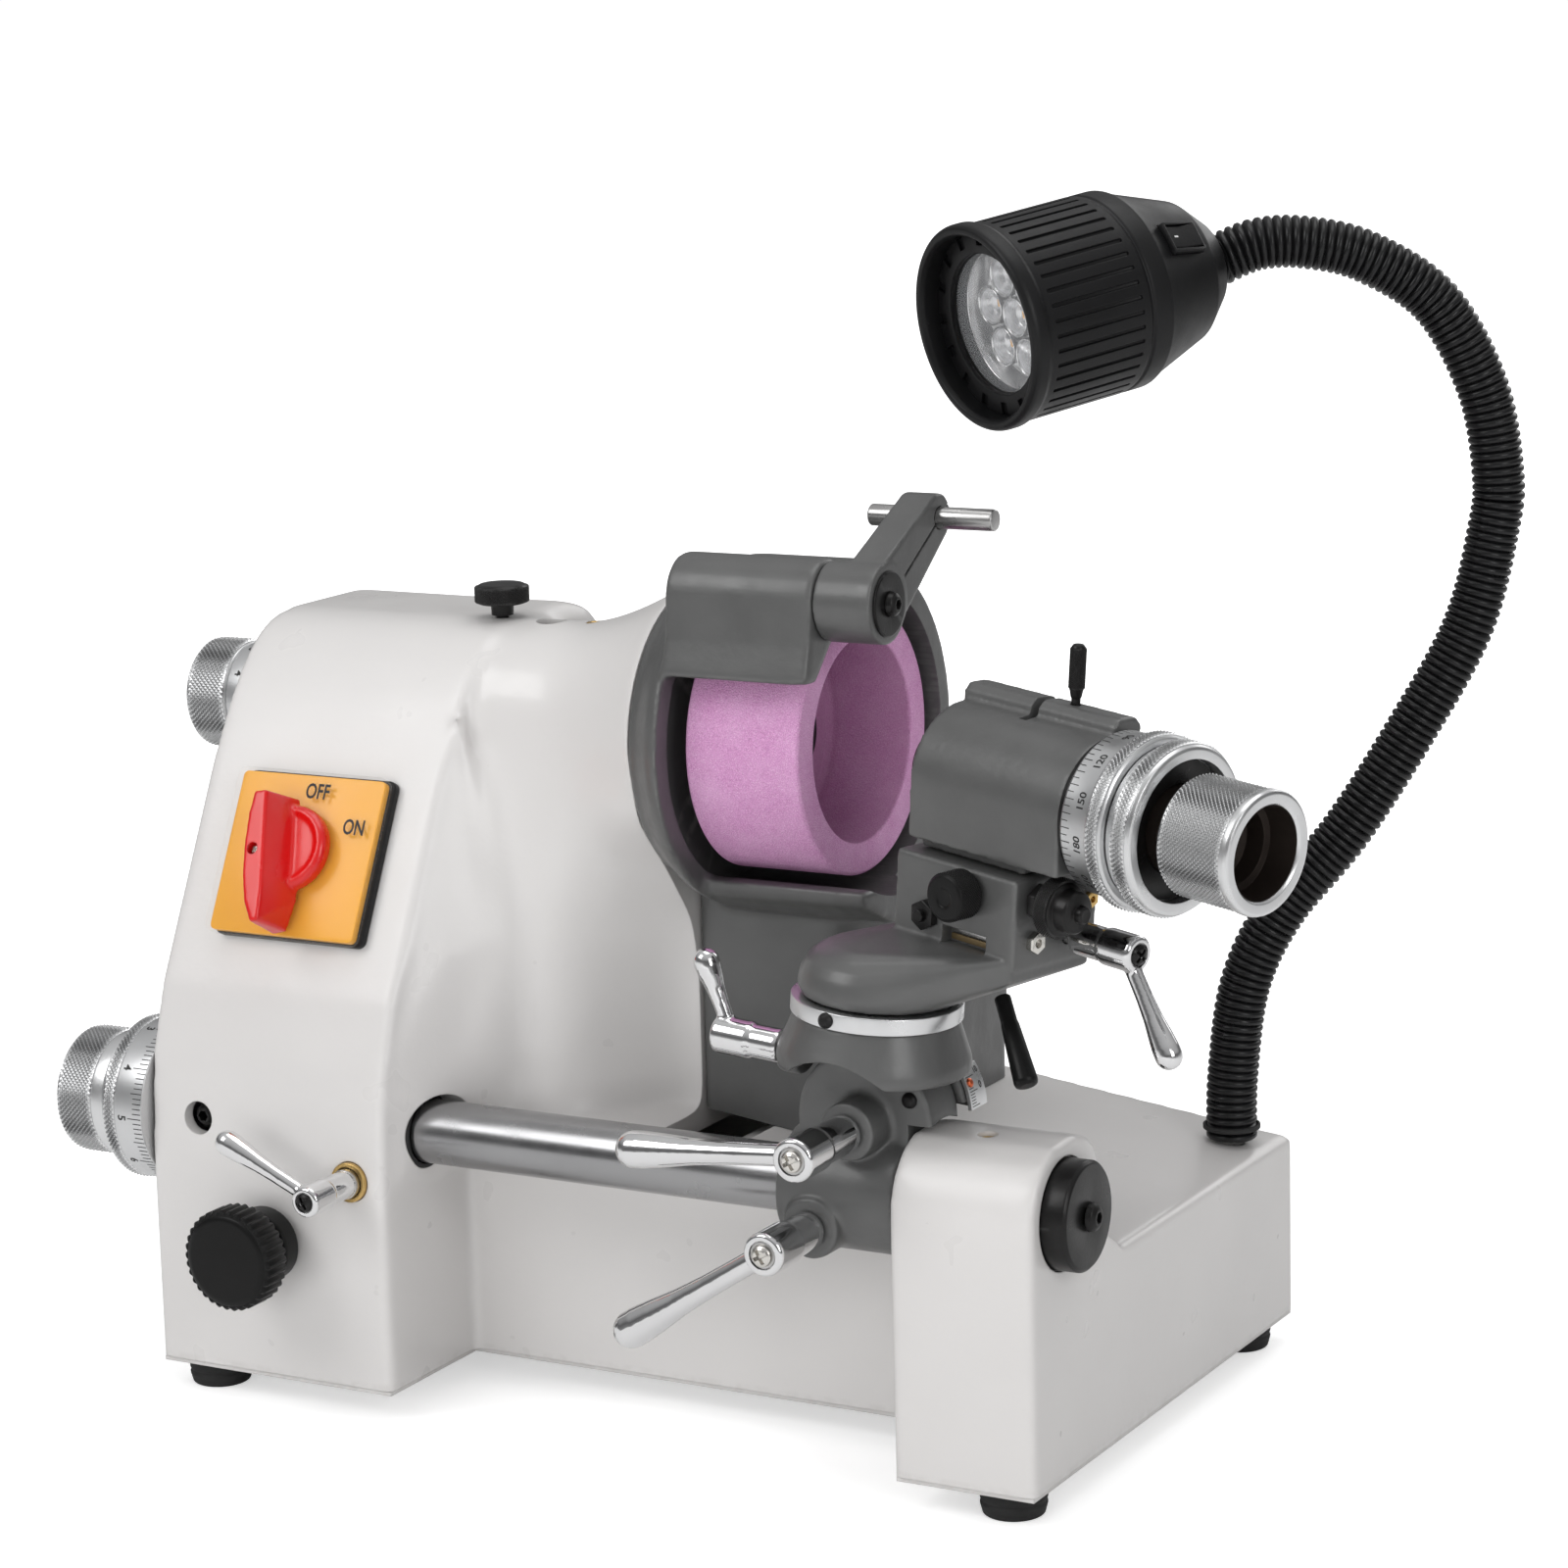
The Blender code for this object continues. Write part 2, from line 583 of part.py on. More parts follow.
# ---- controls on the column ----
COLUMN_KNOB = [  # radius, distance in front of the base
    (0, 31), (17.2, 31), (19.1, 29.2), (19.1, 18.8), (17.2, 17.5), (11, 17), (11, 12.5),
    (13.2, 12), (13.2, 3), (4.6, 2.5), (4.6, -9), (0, -9),
]
QUILL_LOCK = [  # radius, z
    (0, 299.4), (9.4, 299.4), (10.4, 298.6), (10.4, 292.4), (9.4, 291.8), (2.3, 291.8),
    (2.3, 277), (0, 277),
]
SWITCH_AT = (-130.0, -78.9, 204.6)


def column_controls():
    clamp_lever(
        "bar_lock_lever", (LEVER_AT[0], -116.6, LEVER_AT[1]), (0, -1, 0), 27, 5.9,
        (-130.0, -139.5, 109.0), 4.8, stud=5.6, stud_len=12,
    )
    knob_frame = frame_of((KNOB_AT[0], FRONT, KNOB_AT[1]), (0, -1, 0))
    lathe("column_knob", COLUMN_KNOB, knob_frame, "black_plastic", 20)
    lathe("quill_lock_screw", QUILL_LOCK, upright(QUILL_LOCK_X, SPIN_Y), "black_metal", 16)


def switch():
    """Switch on the sloping front; its frame has +Y up the slope and +Z out of it."""
    slope = Vector((0, 38.0, 76.5)).normalized()
    frame = frame_of(Vector(SWITCH_AT) - slope * 1.6, (0, -slope.z, slope.y))
    box("switch_box", (-33, -32, 0.4), (33.5, 32, 3.6), frame, "black_plastic", 0.8)
    box("switch_plate", (-34.5, -32.5, 3.9), (32.5, 32, 9.5), frame, "yellow_plastic", 0.8)
    profile = [(0, 15.5), (15, 15.5), (17, 14), (17, 10), (0, 10)]
    handle = lathe("switch_handle", profile, frame @ shift(-1, 1.2, 0), "red_plastic", 20)
    outline = arc(0, 19, 6.8, 0, 180, 7) + arc(0, -19, 6.4, 180, 360, 7)
    grip_frame = frame @ shift(-4, -5.9, 0) @ turn(11.5, "Z")
    join(handle, prism("grip", outline, "XY", 11, 28, grip_frame))


# ---- bracket on the bar ----
LOW_CLAMP = (98, 97)  # x, z
SADDLE = [  # x, z
    (83.5, 98), (128.5, 98), (128.5, 112), (133, 123), (130, 139), (96, 141), (90, 136), (83.7, 127),
]


def swing_bracket():
    low_axis = along_minus_y(*LOW_CLAMP)
    tube("bar_bush", 15.0, BAR_R + GAP, 85, 127, BAR_AXIS, "steel")
    bracket = rod("swing_bracket", 22.0, 83, 129, BAR_AXIS, "grey_paint", 20)
    join(
        bracket,
        prism("saddle", SADDLE, "XZ", -95.1, -77.3),
        rod("disc", 26.5, 76.2, 97, TILT_AXIS, steps=28),
        rod("front_low", 11.0, 95, 112.5, low_axis, steps=16),
        rod("front_up", 10.5, 93, 111, TILT_AXIS, steps=16),
    )
    cut(
        bracket,
        rod("pillar_room", 28.8, 129.6, 150, BAR_AXIS),
        rod("stud_low", 4.2, 106, 116, low_axis, steps=12),
        rod("stud_up", 4.2, 104, 116, TILT_AXIS, steps=12),
        rod("bush_bore", 15.4, 80, 131, BAR_AXIS, steps=20),
    )


def bracket_levers():
    clamp_lever(
        "upper_clamp_lever", (TILT_X, -111.6, TILT_Z), (0, -1, 0), 38.0, 7.8,
        (46.5, -143.0, 128.0), 6.6, stud=3.9, stud_len=6,
    )
    clamp_lever(
        "lower_clamp_lever", (LOW_CLAMP[0], -113.1, LOW_CLAMP[1]), (0, -1, 0), 33.0, 7.8,
        (41.0, -139.5, 61.0), 6.8, stud=3.9, stud_len=6,
    )


# ---- tilting cone ----
CONE = shift(TILT_X, -92.0, TILT_Z) @ turn(4.9, "Y")  # +Z along the swivel axis
EAR_Y, EAR_Z = 2, 19  # ear axis in the cone's frame
CONE_PROFILE = [
    (0, 53), (10.6, 53), (10.6, 39), (29.2, 39), (34, 25.0), (34.4, 21), (31, 20), (0, 20),
]


def in_cone(point):
    return CONE @ (Vector(point) * MM) / MM


def swivel_cone():
    cone = lathe("swivel_cone", CONE_PROFILE, CONE, "grey_paint")
    ear_axis = CONE @ along_x(EAR_Y, EAR_Z)
    join(
        cone,
        box("cheek", (-20, 16.8, 6.4), (20, 30, 30), CONE),
        rod("rear_disc", 28.5, 58, 65.8, TILT_AXIS, steps=28),
        prism("rear_half", arc(0, 0, 28.5, 13, 167, 12), "XZ", 16.8, 31, CONE),
        rod("ear", 8.5, -36, -27.5, ear_axis, steps=14),
        box("ear_web", (-36, -6, 18), (-26, 10, 27), CONE),
    )
    cut(
        cone,
        rod("disc_room", 28.2, 75.6, 130, TILT_AXIS),
        box("disc_relief", (9, 10, -40), (40, 40, 3), CONE),
        rod("ear_hole", 3.4, -40, -29, ear_axis, steps=12),
    )


def cone_fittings():
    scale = arc(0, 0, 30.2, 8, 38, 6) + arc(0, 0, 28.8, 38, 8, 6)
    prism("angle_scale", scale, "XZ", 18.5, 30.5, CONE, "aluminium")
    tube("swivel_ring", 30.2, 12.0, 39.3, 45.2, CONE, "aluminium")
    clamp_lever(
        "swivel_lock_lever", in_cone((-37, EAR_Y, EAR_Z)), CONE.to_3x3() @ Vector((-1, 0, 0)),
        27.0, 6.8, (46.5, -89.5, 183.0), 4.8, stud=3.1, stud_len=7,
    )


# ---- swivel arm, in the workhead's frame ----
# origin at the mouth of the draw sleeve, +X along the work spindle
HEAD = shift(265.8, -100.0, 241.6) @ turn(-16.5, "Z") @ turn(4.9, "Y")
ARM_LEVER_DIR = (-0.62, 0.25, 0.74)
ARM_TOP_RINGS = ((26.5, 45.6), (28.2, 49), (27.2, 55), (22, 61.5), (12, 65))  # radius, cone z
KNOB_X, KNOB_Z = -105.5, -32  # stop knob
WHEEL_AT = (-18, -32)  # y, z of the stop thumbwheel
LOCK_AT = (0, -47)  # y, z of the slide lock
STOP_KNOB = [
    (0, 12), (8.2, 12), (8.8, 11.2), (8.8, 2.2), (8.2, 1.4), (2.8, 1.2), (2.8, -4), (0, -4),
]
THUMBWHEEL = [
    (0, 23), (3.0, 23), (3.0, 20), (7.4, 19.5), (7.4, 14.5), (9.8, 14), (10.6, 13), (10.6, 8.5),
    (9.8, 7.5), (3.4, 7.2), (3.4, 5), (6.2, 4.6), (6.2, 1), (2.8, 0.8), (2.8, -8), (0, -8),
]


def head_frame(point=(0, 0, 0), z_axis=(1, 0, 0)):
    return HEAD @ frame_of(point, z_axis)


def in_head(point):
    return HEAD @ (Vector(point) * MM) / MM


def arm_points():
    angles = [i * math.tau / 20 for i in range(20)]
    top = [
        in_cone((radius * math.cos(angle), radius * math.sin(angle), height))
        for radius, height in ARM_TOP_RINGS
        for angle in angles
    ]
    block = [in_head((x, y, z)) for x in (-138, -85) for y in (-27, 12) for z in (-60, -52)]
    return top + block


def swivel_arm():
    arm = hull("swivel_arm", arm_points(), "grey_paint")
    lever_frame = head_frame((-107, -10, -64), ARM_LEVER_DIR)
    knob_frame = head_frame((KNOB_X, 8, KNOB_Z), (0, -1, 0))
    join(arm, box("arm_block", (-140, -28, -56), (-84, 14, -24), HEAD, bevel=1.0))
    cut(
        arm,
        box("arm_window", (-117, -32, -52.5), (-96.5, -23, -46), HEAD),
        rod("arm_lever_hole", 3.6, -6, 9, lever_frame, steps=12),
        rod("arm_knob_hole", 3.2, 26, 40, knob_frame, steps=12),
        rod("arm_stop_hole", 3.2, -100, -80, head_frame((0, *WHEEL_AT)), steps=12),
        rod("arm_lock_hole", 3.6, -100, -80, head_frame((0, *LOCK_AT)), steps=12),
        rod("swivel_bore", 11.0, 43, 56, CONE, steps=16),
    )


def arm_fittings():
    lever = [(0, 7), (2.9, 7), (2.9, -3), (4.3, -25.8), (3.6, -27), (0, -27)]
    lever_frame = head_frame((-98.3, -13.4, -76.9), ARM_LEVER_DIR)
    lathe("arm_lock_lever", lever, lever_frame, "black_metal", 12)
    knob_frame = head_frame((KNOB_X, -28.5, KNOB_Z), (0, -1, 0))
    lathe("stop_knob", STOP_KNOB, knob_frame, "black_plastic", 16)
    lathe("stop_thumbwheel", THUMBWHEEL, head_frame((-84, *WHEEL_AT)), "black_metal", 14)
    clamp_lever(
        "slide_lock_lever", in_head((-80, *LOCK_AT)), HEAD.to_3x3() @ Vector((1, 0, 0)),
        28.0, 6.6, in_head((-35.5, -1.5, -78)), 4.8, stud=3.2, stud_len=10,
    )


# ---- workhead ----
PIN_AT = (-94, 9, 0)
HEAD_SHELL = [(-25, -20), (25, -20), *arc(0, 0, 25, 0, 180, 13)]  # y, z
HEAD_RIB = [(2, 12), (16, 12), (16, 27), (13.5, 30), (5, 30.6), (2, 28)]  # y, z
# closed turned rings on the work spindle: name, material, steps, (radius, x) points
HEAD_RINGS = [
    ("workhead_spindle", "steel", 18,
     [(12, -32), (15, -34), (15, -145), (13.5, -148), (6, -148), (6, -60), (12, -56)]),
    ("index_ring", "aluminium", 24,
     [(30.8, -47.2), (31, -48), (31, -53), (29.2, -54), (28.2, -62), (28.2, -66), (15.3, -66),
      (15.3, -47.2)]),
    ("index_lock_ring", "aluminium", 24,
     [(28.5, -35), (30.2, -36.5), (30.2, -43), (27, -44), (27, -46.8), (15.3, -46.8),
      (15.3, -40), (24.5, -40), (24.5, -35)]),
    ("draw_sleeve", "aluminium", 24,
     [(20.6, 0), (21.4, -1), (20.2, -31), (19.6, -31.6), (6.6, -31.6), (6.6, -22), (16.2, -20),
      (16.2, 0)]),
]
INDEX_PIN = [  # radius, z
    (0, 51.4), (2.2, 51.4), (2.9, 50), (2.9, 35.5), (2.2, 34), (1.6, 33), (1.6, 17.5), (0, 17.5),
]


def workhead():
    body = prism("workhead_body", HEAD_SHELL, "YZ", -138, -66.4, HEAD, "grey_paint")
    pin_frame = head_frame(PIN_AT, (0, 0, 1))
    join(
        body,
        prism("rib", HEAD_RIB, "YZ", -139.5, -68, HEAD),
        box("slide_foot", (-136, -20, -23.7), (-88, 12, -18), HEAD),
    )
    cut(
        body,
        rod("spindle_bore", 15.4, -150, -60, head_frame()),
        box("rib_slot", (-108, -4, 23.5), (-104.5, 20, 40), HEAD),
        rod("pin_hole", 2.0, 10, 40, pin_frame, steps=10),
    )
    for name, material, steps, profile in HEAD_RINGS:
        lathe(name, profile, head_frame(), material, steps, ring=True)
    lathe("index_pin", INDEX_PIN, pin_frame, "black_metal", 12)


# ---- wheel dresser ----
TIP = TIP_Y, TIP_Z = -3.0, 332.0  # pin end of the dresser arm
DRESSER_SCREW = [  # radius, x
    (0, 103.2), (3.2, 102.8), (4.6, 99.8), (4.6, 99.4), (3.0, 99.4), (3.0, 92), (0, 92),
]


def wheel_dresser():
    boss_axis, tip_axis = along_x(*BOSS), along_x(*TIP)
    arm = rod("dresser_arm", 14.5, 76.5, 99.0, boss_axis, "grey_paint")
    heading = math.degrees(math.atan2(TIP_Z - BOSS_Z, TIP_Y - BOSS_Y))
    outline = arc(*BOSS, 13.5, heading + 90, heading + 270, 7)
    outline += arc(*TIP, 8.8, heading - 90, heading + 90, 7)
    join(arm, prism("arm_bar", outline, "YZ", 84.5, 98.6))
    cut(
        arm,
        rod("pin_bore", 4.3, 80, 104, tip_axis, steps=14),
        rod("hub_recess", 3.3, 90, 103, boss_axis, steps=12),
    )
    # thin helper along the arm, which is not cut from it
    slit = [
        (BOSS_Y + 14, BOSS_Z + 8.6), (TIP_Y + 12, TIP_Z + 7.6),
        (TIP_Y + 12, TIP_Z + 6.2), (BOSS_Y + 14, BOSS_Z + 7.2),
    ]
    prism("slit", slit, "YZ", 80, 104)
    rod("dresser_pin", 4.0, 71, 121, tip_axis, "steel", 14, chamfer=0.6)
    lathe("dresser_screw", DRESSER_SCREW, boss_axis, "black_metal", 14)


# ---- lamp ----
NECK_R = 9.6
NECK_DIR = (0.8724, 0.4888)  # x, y heading of the upright plane the neck bends in
NECK = [  # distance from NECK_BASE along NECK_DIR, z
    (0, 85.0), (0.6, 110), (5.5, 145), (19, 173), (43, 202), (67, 239), (89, 279), (98.5, 316),
    (100, 337), (94, 369), (77, 400), (52, 417), (30, 423), (12, 423), (-3, 417.5),
]
SPLIT = 15  # index of the point where the two neck pieces meet
LAMP_DIR = Vector((-0.487, -0.857, -0.161)).normalized()
LAMP_PROFILE = [  # radius, distance from the lamp's rear
    (0, 20), (22, 30), (33, 48), (33, 103), (37, 103), (37.5, 101), (37.5, 96), (36.5, 95),
    (36.5, 42), (34.5, 38), (26.5, 14), (17, 3), (12.5, 0.5), (0, 0.5),
]


def spline_through(knots, per_span):
    """Catmull-Rom points through the knots."""
    out = []
    for i in range(len(knots) - 1):
        spans = zip(knots[max(i - 1, 0)], knots[i], knots[i + 1], knots[min(i + 2, len(knots) - 1)])
        spans = list(spans)
        for k in range(per_span):
            t = k / per_span
            out.append(tuple(
                0.5 * (2 * b + (c - a) * t + (2 * a - 5 * b + 4 * c - d) * t * t
                       + (3 * b - a - 3 * c + d) * t**3)
                for a, b, c, d in spans
            ))
    out.append(tuple(knots[-1]))
    return out


def neck_piece(name, points):
    data = bpy.data.curves.new(name, "CURVE")
    data.dimensions = "3D"
    data.bevel_depth = NECK_R * MM
    data.bevel_resolution = 2
    data.use_fill_caps = True
    spline = data.splines.new("POLY")
    spline.points.add(len(points) - 1)
    for point, place in zip(spline.points, points):
        point.co = (*(c * MM for c in place), 1)
    keep(bpy.data.objects.new(name, data), "black_plastic")


def gooseneck():
    """Builds both neck pieces and returns the rear of the lamp."""
    points = [
        Vector((NECK_BASE[0] + NECK_DIR[0] * out, NECK_BASE[1] + NECK_DIR[1] * out, z))
        for out, z in spline_through(NECK, 2)
    ]
    lamp_rear = points[-1] + LAMP_DIR * 6.0
    split = points[SPLIT]
    along = (points[SPLIT + 1] - points[SPLIT - 1]).normalized()
    neck_piece("gooseneck_lower", points[:SPLIT] + [split - along * 3.0, split - along * (GAP / 2)])
    upper = [split + along * (GAP / 2), split + along * 3.0] + points[SPLIT + 1:-1]
    upper += [lamp_rear - LAMP_DIR * 5.0, lamp_rear + LAMP_DIR * 0.1]
    neck_piece("gooseneck_upper", upper)
    return lamp_rear


def lamp():
    rear = gooseneck()
    frame = frame_of(rear, LAMP_DIR, (0, 0, 1))
    head = lathe("lamp_head", LAMP_PROFILE, frame, "black_plastic")
    rod("lamp_lens", 32.6, 92, 98.5, frame, "clear_lens", 20)
    # the rocker sits on the shell, towards its top and its +X side
    up = (Vector((0, 0, 1)) - LAMP_DIR * LAMP_DIR.z).normalized()
    side = up.cross(LAMP_DIR).normalized()
    out = (up * 0.55 + side * 0.835).normalized()
    place = rear + LAMP_DIR * 27 + out * 30.9
    rocker = frame_of(place, out + LAMP_DIR * -0.36, LAMP_DIR)
    box("lamp_rocker", (-8.5, -5.5, -1.2), (8.5, 5.5, 2.0), rocker, "black_plastic", 0.8)
    cut(head, box("rocker_pocket", (-9.2, -6.2, -3.2), (9.2, 6.2, 12), rocker))


for build in (
    base_casting, base_plates, feet, wheel_guard, spindle, motor, drive_belt, feed_dials,
    slide_bar, column_controls, switch, swing_bracket, bracket_levers, swivel_cone,
    cone_fittings, swivel_arm, arm_fittings, workhead, wheel_dresser, lamp,
):
    build()

for obj in list(parts.objects) + list(cutters.objects):
    obj.matrix_world = shift(-CENTRE_X, -CENTRE_Y, 0) @ obj.matrix_world
bpy.context.view_layer.update()
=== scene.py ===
import math

import bmesh
import bpy
import numpy as np
from mathutils import Matrix, Vector


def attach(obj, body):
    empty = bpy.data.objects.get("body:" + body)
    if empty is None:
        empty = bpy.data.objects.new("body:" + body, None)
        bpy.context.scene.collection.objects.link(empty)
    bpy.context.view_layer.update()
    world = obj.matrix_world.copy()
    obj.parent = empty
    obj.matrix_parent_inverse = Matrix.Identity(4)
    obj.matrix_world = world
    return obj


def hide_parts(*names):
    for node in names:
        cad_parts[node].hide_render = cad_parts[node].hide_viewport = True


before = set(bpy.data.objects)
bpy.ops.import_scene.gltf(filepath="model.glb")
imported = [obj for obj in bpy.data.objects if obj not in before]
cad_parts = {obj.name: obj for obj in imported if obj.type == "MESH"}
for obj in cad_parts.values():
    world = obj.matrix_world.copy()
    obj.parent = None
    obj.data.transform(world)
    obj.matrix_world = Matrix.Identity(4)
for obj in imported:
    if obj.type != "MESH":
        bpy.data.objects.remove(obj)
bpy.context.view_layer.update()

# All sizes below are in millimetres from the middle of the cast base; OUT moves them to the frame's origin in metres.
MM = 0.001
CENTRE = Vector((20.14, 0.06, 0.0))
X0, X1, Y0, Y1 = -185.0, 185.0, -115.0, 115.0
CAST_Z = 12.0
SPIN, BAR, TILT, BOSS, MOTOR = (-6.6, 249.5), (-88.2, 106.6), (112.5, 133.0), (-45.0, 307.0), (25.0, 92.0)
CONE_Y = -92.0
COLUMN_X, RECESS_Y, PILLAR_X = -79.5, -57.0, 130.0
rng = np.random.default_rng(7)

# ---------------------------------------------------------------- materials


def graph(name):
    m = bpy.data.materials.new(name)
    m.use_nodes = True
    nt = m.node_tree
    return m, nt, nt.nodes["Principled BSDF"]


def link(nt, a, b):
    nt.links.new(a, b)


def noise_node(nt, coord, scale, detail=3.0, rough=0.5, stretch=None):
    if stretch is not None:
        mp = nt.nodes.new("ShaderNodeMapping")
        mp.inputs["Scale"].default_value = stretch
        link(nt, coord, mp.inputs["Vector"])
        coord = mp.outputs["Vector"]
    n = nt.nodes.new("ShaderNodeTexNoise")
    n.inputs["Scale"].default_value = scale
    n.inputs["Detail"].default_value = detail
    n.inputs["Roughness"].default_value = rough
    link(nt, coord, n.inputs["Vector"])
    return n.outputs["Fac"]


def remap(nt, value, a, b, lo=0.0, hi=1.0):
    r = nt.nodes.new("ShaderNodeMapRange")
    r.inputs["From Min"].default_value = lo
    r.inputs["From Max"].default_value = hi
    r.inputs["To Min"].default_value = a
    r.inputs["To Max"].default_value = b
    link(nt, value, r.inputs["Value"])
    return r.outputs["Result"]


def mix_colour(nt, fac, a, b, mode="MIX"):
    n = nt.nodes.new("ShaderNodeMix")
    n.data_type = "RGBA"
    n.blend_type = mode
    for socket, value in ((n.inputs[0], fac), (n.inputs[6], a), (n.inputs[7], b)):
        if hasattr(value, "is_linked"):
            link(nt, value, socket)
        elif isinstance(value, (tuple, list)):
            socket.default_value = (*value[:3], 1)
        else:
            socket.default_value = value
    return n.outputs[2]


def bump(nt, height, distance, strength=1.0, normal=None):
    b = nt.nodes.new("ShaderNodeBump")
    b.inputs["Distance"].default_value = distance
    b.inputs["Strength"].default_value = strength
    link(nt, height, b.inputs["Height"])
    if normal is not None:
        link(nt, normal, b.inputs["Normal"])
    return b.outputs["Normal"]


def coords(nt):
    return nt.nodes.new("ShaderNodeTexCoord").outputs["Object"]


def round_edges(nt, radius):
    b = nt.nodes.new("ShaderNodeBevel")
    b.samples = 4
    b.inputs["Radius"].default_value = radius
    return b.outputs["Normal"]


def finish_of(name, colour, rough, metal=0.0, vary=0.06, vary_scale=25.0, rough_vary=0.06, peel=None, grain=None, coat=0.0,
              edge=0.0006, wear=None, streak=None, spec=0.5, valley_shade=None):
    """One painted, cast, plated or moulded finish: colour clouds, roughness clouds, one or two bump layers, worn edges,
    and painted shade in the hollows when a valley colour is given.
    """
    m, nt, shader = graph(name)
    at = coords(nt)
    cloud = noise_node(nt, at, vary_scale, 4.0)
    dark = tuple(c * (1 - vary) for c in colour)
    light = tuple(min(c * (1 + vary), 1.0) for c in colour)
    base = mix_colour(nt, remap(nt, cloud, 0, 1, 0.3, 0.7), dark, light)
    if wear:
        geo = nt.nodes.new("ShaderNodeNewGeometry")
        worn = remap(nt, geo.outputs["Pointiness"], 0, wear[1], 0.52, 0.60)
        chips = noise_node(nt, at, 160.0, 4.0)
        both = nt.nodes.new("ShaderNodeMath")
        both.operation = "MULTIPLY"
        link(nt, worn, both.inputs[0])
        link(nt, remap(nt, chips, 0, 1, 0.42, 0.6), both.inputs[1])
        base = mix_colour(nt, both.outputs[0], base, wear[0])
    # painted shade: hollows with low pointiness, such as a knurl's valleys, are mixed towards the given dark valley
    # colour
    if valley_shade:
        geo = nt.nodes.new("ShaderNodeNewGeometry")
        base = mix_colour(nt, remap(nt, geo.outputs["Pointiness"], 0, 1, 0.44, 0.56), valley_shade, base)
    link(nt, base, shader.inputs["Base Color"])
    rv = noise_node(nt, at, vary_scale * 3, 3.0)
    link(nt, remap(nt, rv, rough - rough_vary, rough + rough_vary, 0.3, 0.7), shader.inputs["Roughness"])
    shader.inputs["Metallic"].default_value = metal
    shader.inputs["Specular IOR Level"].default_value = spec
    if coat:
        shader.inputs["Coat Weight"].default_value = coat
        shader.inputs["Coat Roughness"].default_value = 0.12
    normal = round_edges(nt, edge) if edge else None
    if peel:
        normal = bump(nt, noise_node(nt, at, peel[0], 2.0), peel[1], 1.0, normal)
    if grain:
        normal = bump(nt, noise_node(nt, at, grain[0], 5.0, 0.6), grain[1], 1.0, normal)
    if streak:
        normal = bump(nt, noise_node(nt, at, 1.0, 4.0, 0.6, streak[0]), streak[1], 1.0, normal)
    if normal is not None:
        link(nt, normal, shader.inputs["Normal"])
    return m


WHITE = finish_of("white_casting_paint", (0.66, 0.645, 0.635), 0.33, 0.0, vary=0.022, vary_scale=12, peel=(210, 0.00010), grain=(900, 0.000012),
                  coat=0.25, edge=0.0009, wear=((0.50, 0.48, 0.46), 0.25), spec=0.45)
GREY = finish_of("grey_metallic_paint", (0.108, 0.109, 0.108), 0.40, 0.25, vary=0.10, vary_scale=30, rough_vary=0.07, peel=(260, 0.00012),
                 grain=(1500, 0.00002), coat=0.12, edge=0.0007, wear=((0.28, 0.28, 0.27), 0.55))
GREY_DARK = finish_of("grey_machined_paint", (0.070, 0.071, 0.072), 0.42, 0.3, vary=0.12, peel=(300, 0.00006), grain=(1500, 0.00002),
                      edge=0.0005, wear=((0.25, 0.25, 0.25), 0.5))
CHROME = finish_of("chrome_plate", (0.78, 0.78, 0.785), 0.075, 1.0, vary=0.02, rough_vary=0.025, peel=(120, 0.00006), edge=0.0003)
BAR_STEEL = finish_of("ground_bar_steel", (0.36, 0.36, 0.365), 0.25, 1.0, vary=0.04, rough_vary=0.04, streak=((30, 900, 900), 0.00001), edge=0.0003)
STEEL = finish_of("turned_steel", (0.52, 0.515, 0.51), 0.28, 1.0, vary=0.06, rough_vary=0.06, grain=(700, 0.00002), edge=0.0003)
SILVER = finish_of("satin_aluminium", (0.74, 0.745, 0.75), 0.30, 1.0, vary=0.04, rough_vary=0.05, grain=(1800, 0.000012), edge=0.0003)
# the knurled bands carry painted shade, near black, in the valleys between the diamonds
KNURL = finish_of("knurled_aluminium", (0.74, 0.745, 0.75), 0.25, 1.0, vary=0.05, rough_vary=0.05, grain=(2500, 0.00001), edge=0.0,
                  valley_shade=(0.03, 0.03, 0.03))
RING = finish_of("brushed_ring", (0.68, 0.685, 0.69), 0.34, 1.0, vary=0.05, rough_vary=0.06, streak=((40, 40, 1500), 0.000015), edge=0.0003)
BLACKENED = finish_of("blackened_steel", (0.014, 0.0135, 0.0135), 0.34, 0.55, vary=0.25, rough_vary=0.08, grain=(900, 0.00003), edge=0.0004,
                      wear=((0.10, 0.10, 0.10), 0.5))
PLASTIC = finish_of("black_moulded_plastic", (0.005, 0.005, 0.0055), 0.42, 0.0, vary=0.2, rough_vary=0.06, grain=(1300, 0.00005), edge=0.0005, spec=0.28)
KNOB_BLACK = finish_of("black_knob_plastic", (0.004, 0.004, 0.004), 0.36, 0.0, vary=0.2, rough_vary=0.07, grain=(1600, 0.00004), edge=0.0005, spec=0.22)
NECK_BLACK = finish_of("black_corrugated_sleeve", (0.005, 0.005, 0.0055), 0.32, 0.0, vary=0.2, rough_vary=0.08, grain=(500, 0.00004), edge=0.0, spec=0.36)
RUBBER = finish_of("black_rubber", (0.014, 0.014, 0.014), 0.72, 0.0, vary=0.2, grain=(900, 0.00008), edge=0.0006)
RED = finish_of("red_moulded_plastic", (0.62, 0.003, 0.003), 0.24, 0.0, vary=0.06, rough_vary=0.05, grain=(500, 0.00001), coat=0.35, edge=0.0008)
YELLOW = finish_of("yellow_plate", (0.78, 0.355, 0.012), 0.38, 0.0, vary=0.03, rough_vary=0.05, grain=(900, 0.00001), coat=0.2, edge=0.0003)
BRASS = finish_of("brass", (0.62, 0.42, 0.16), 0.28, 1.0, vary=0.10, rough_vary=0.08, grain=(900, 0.00003), edge=0.0003)
COPPER = finish_of("copper_rivet", (0.70, 0.16, 0.07), 0.30, 1.0, vary=0.10, grain=(900, 0.00003), edge=0.0003)
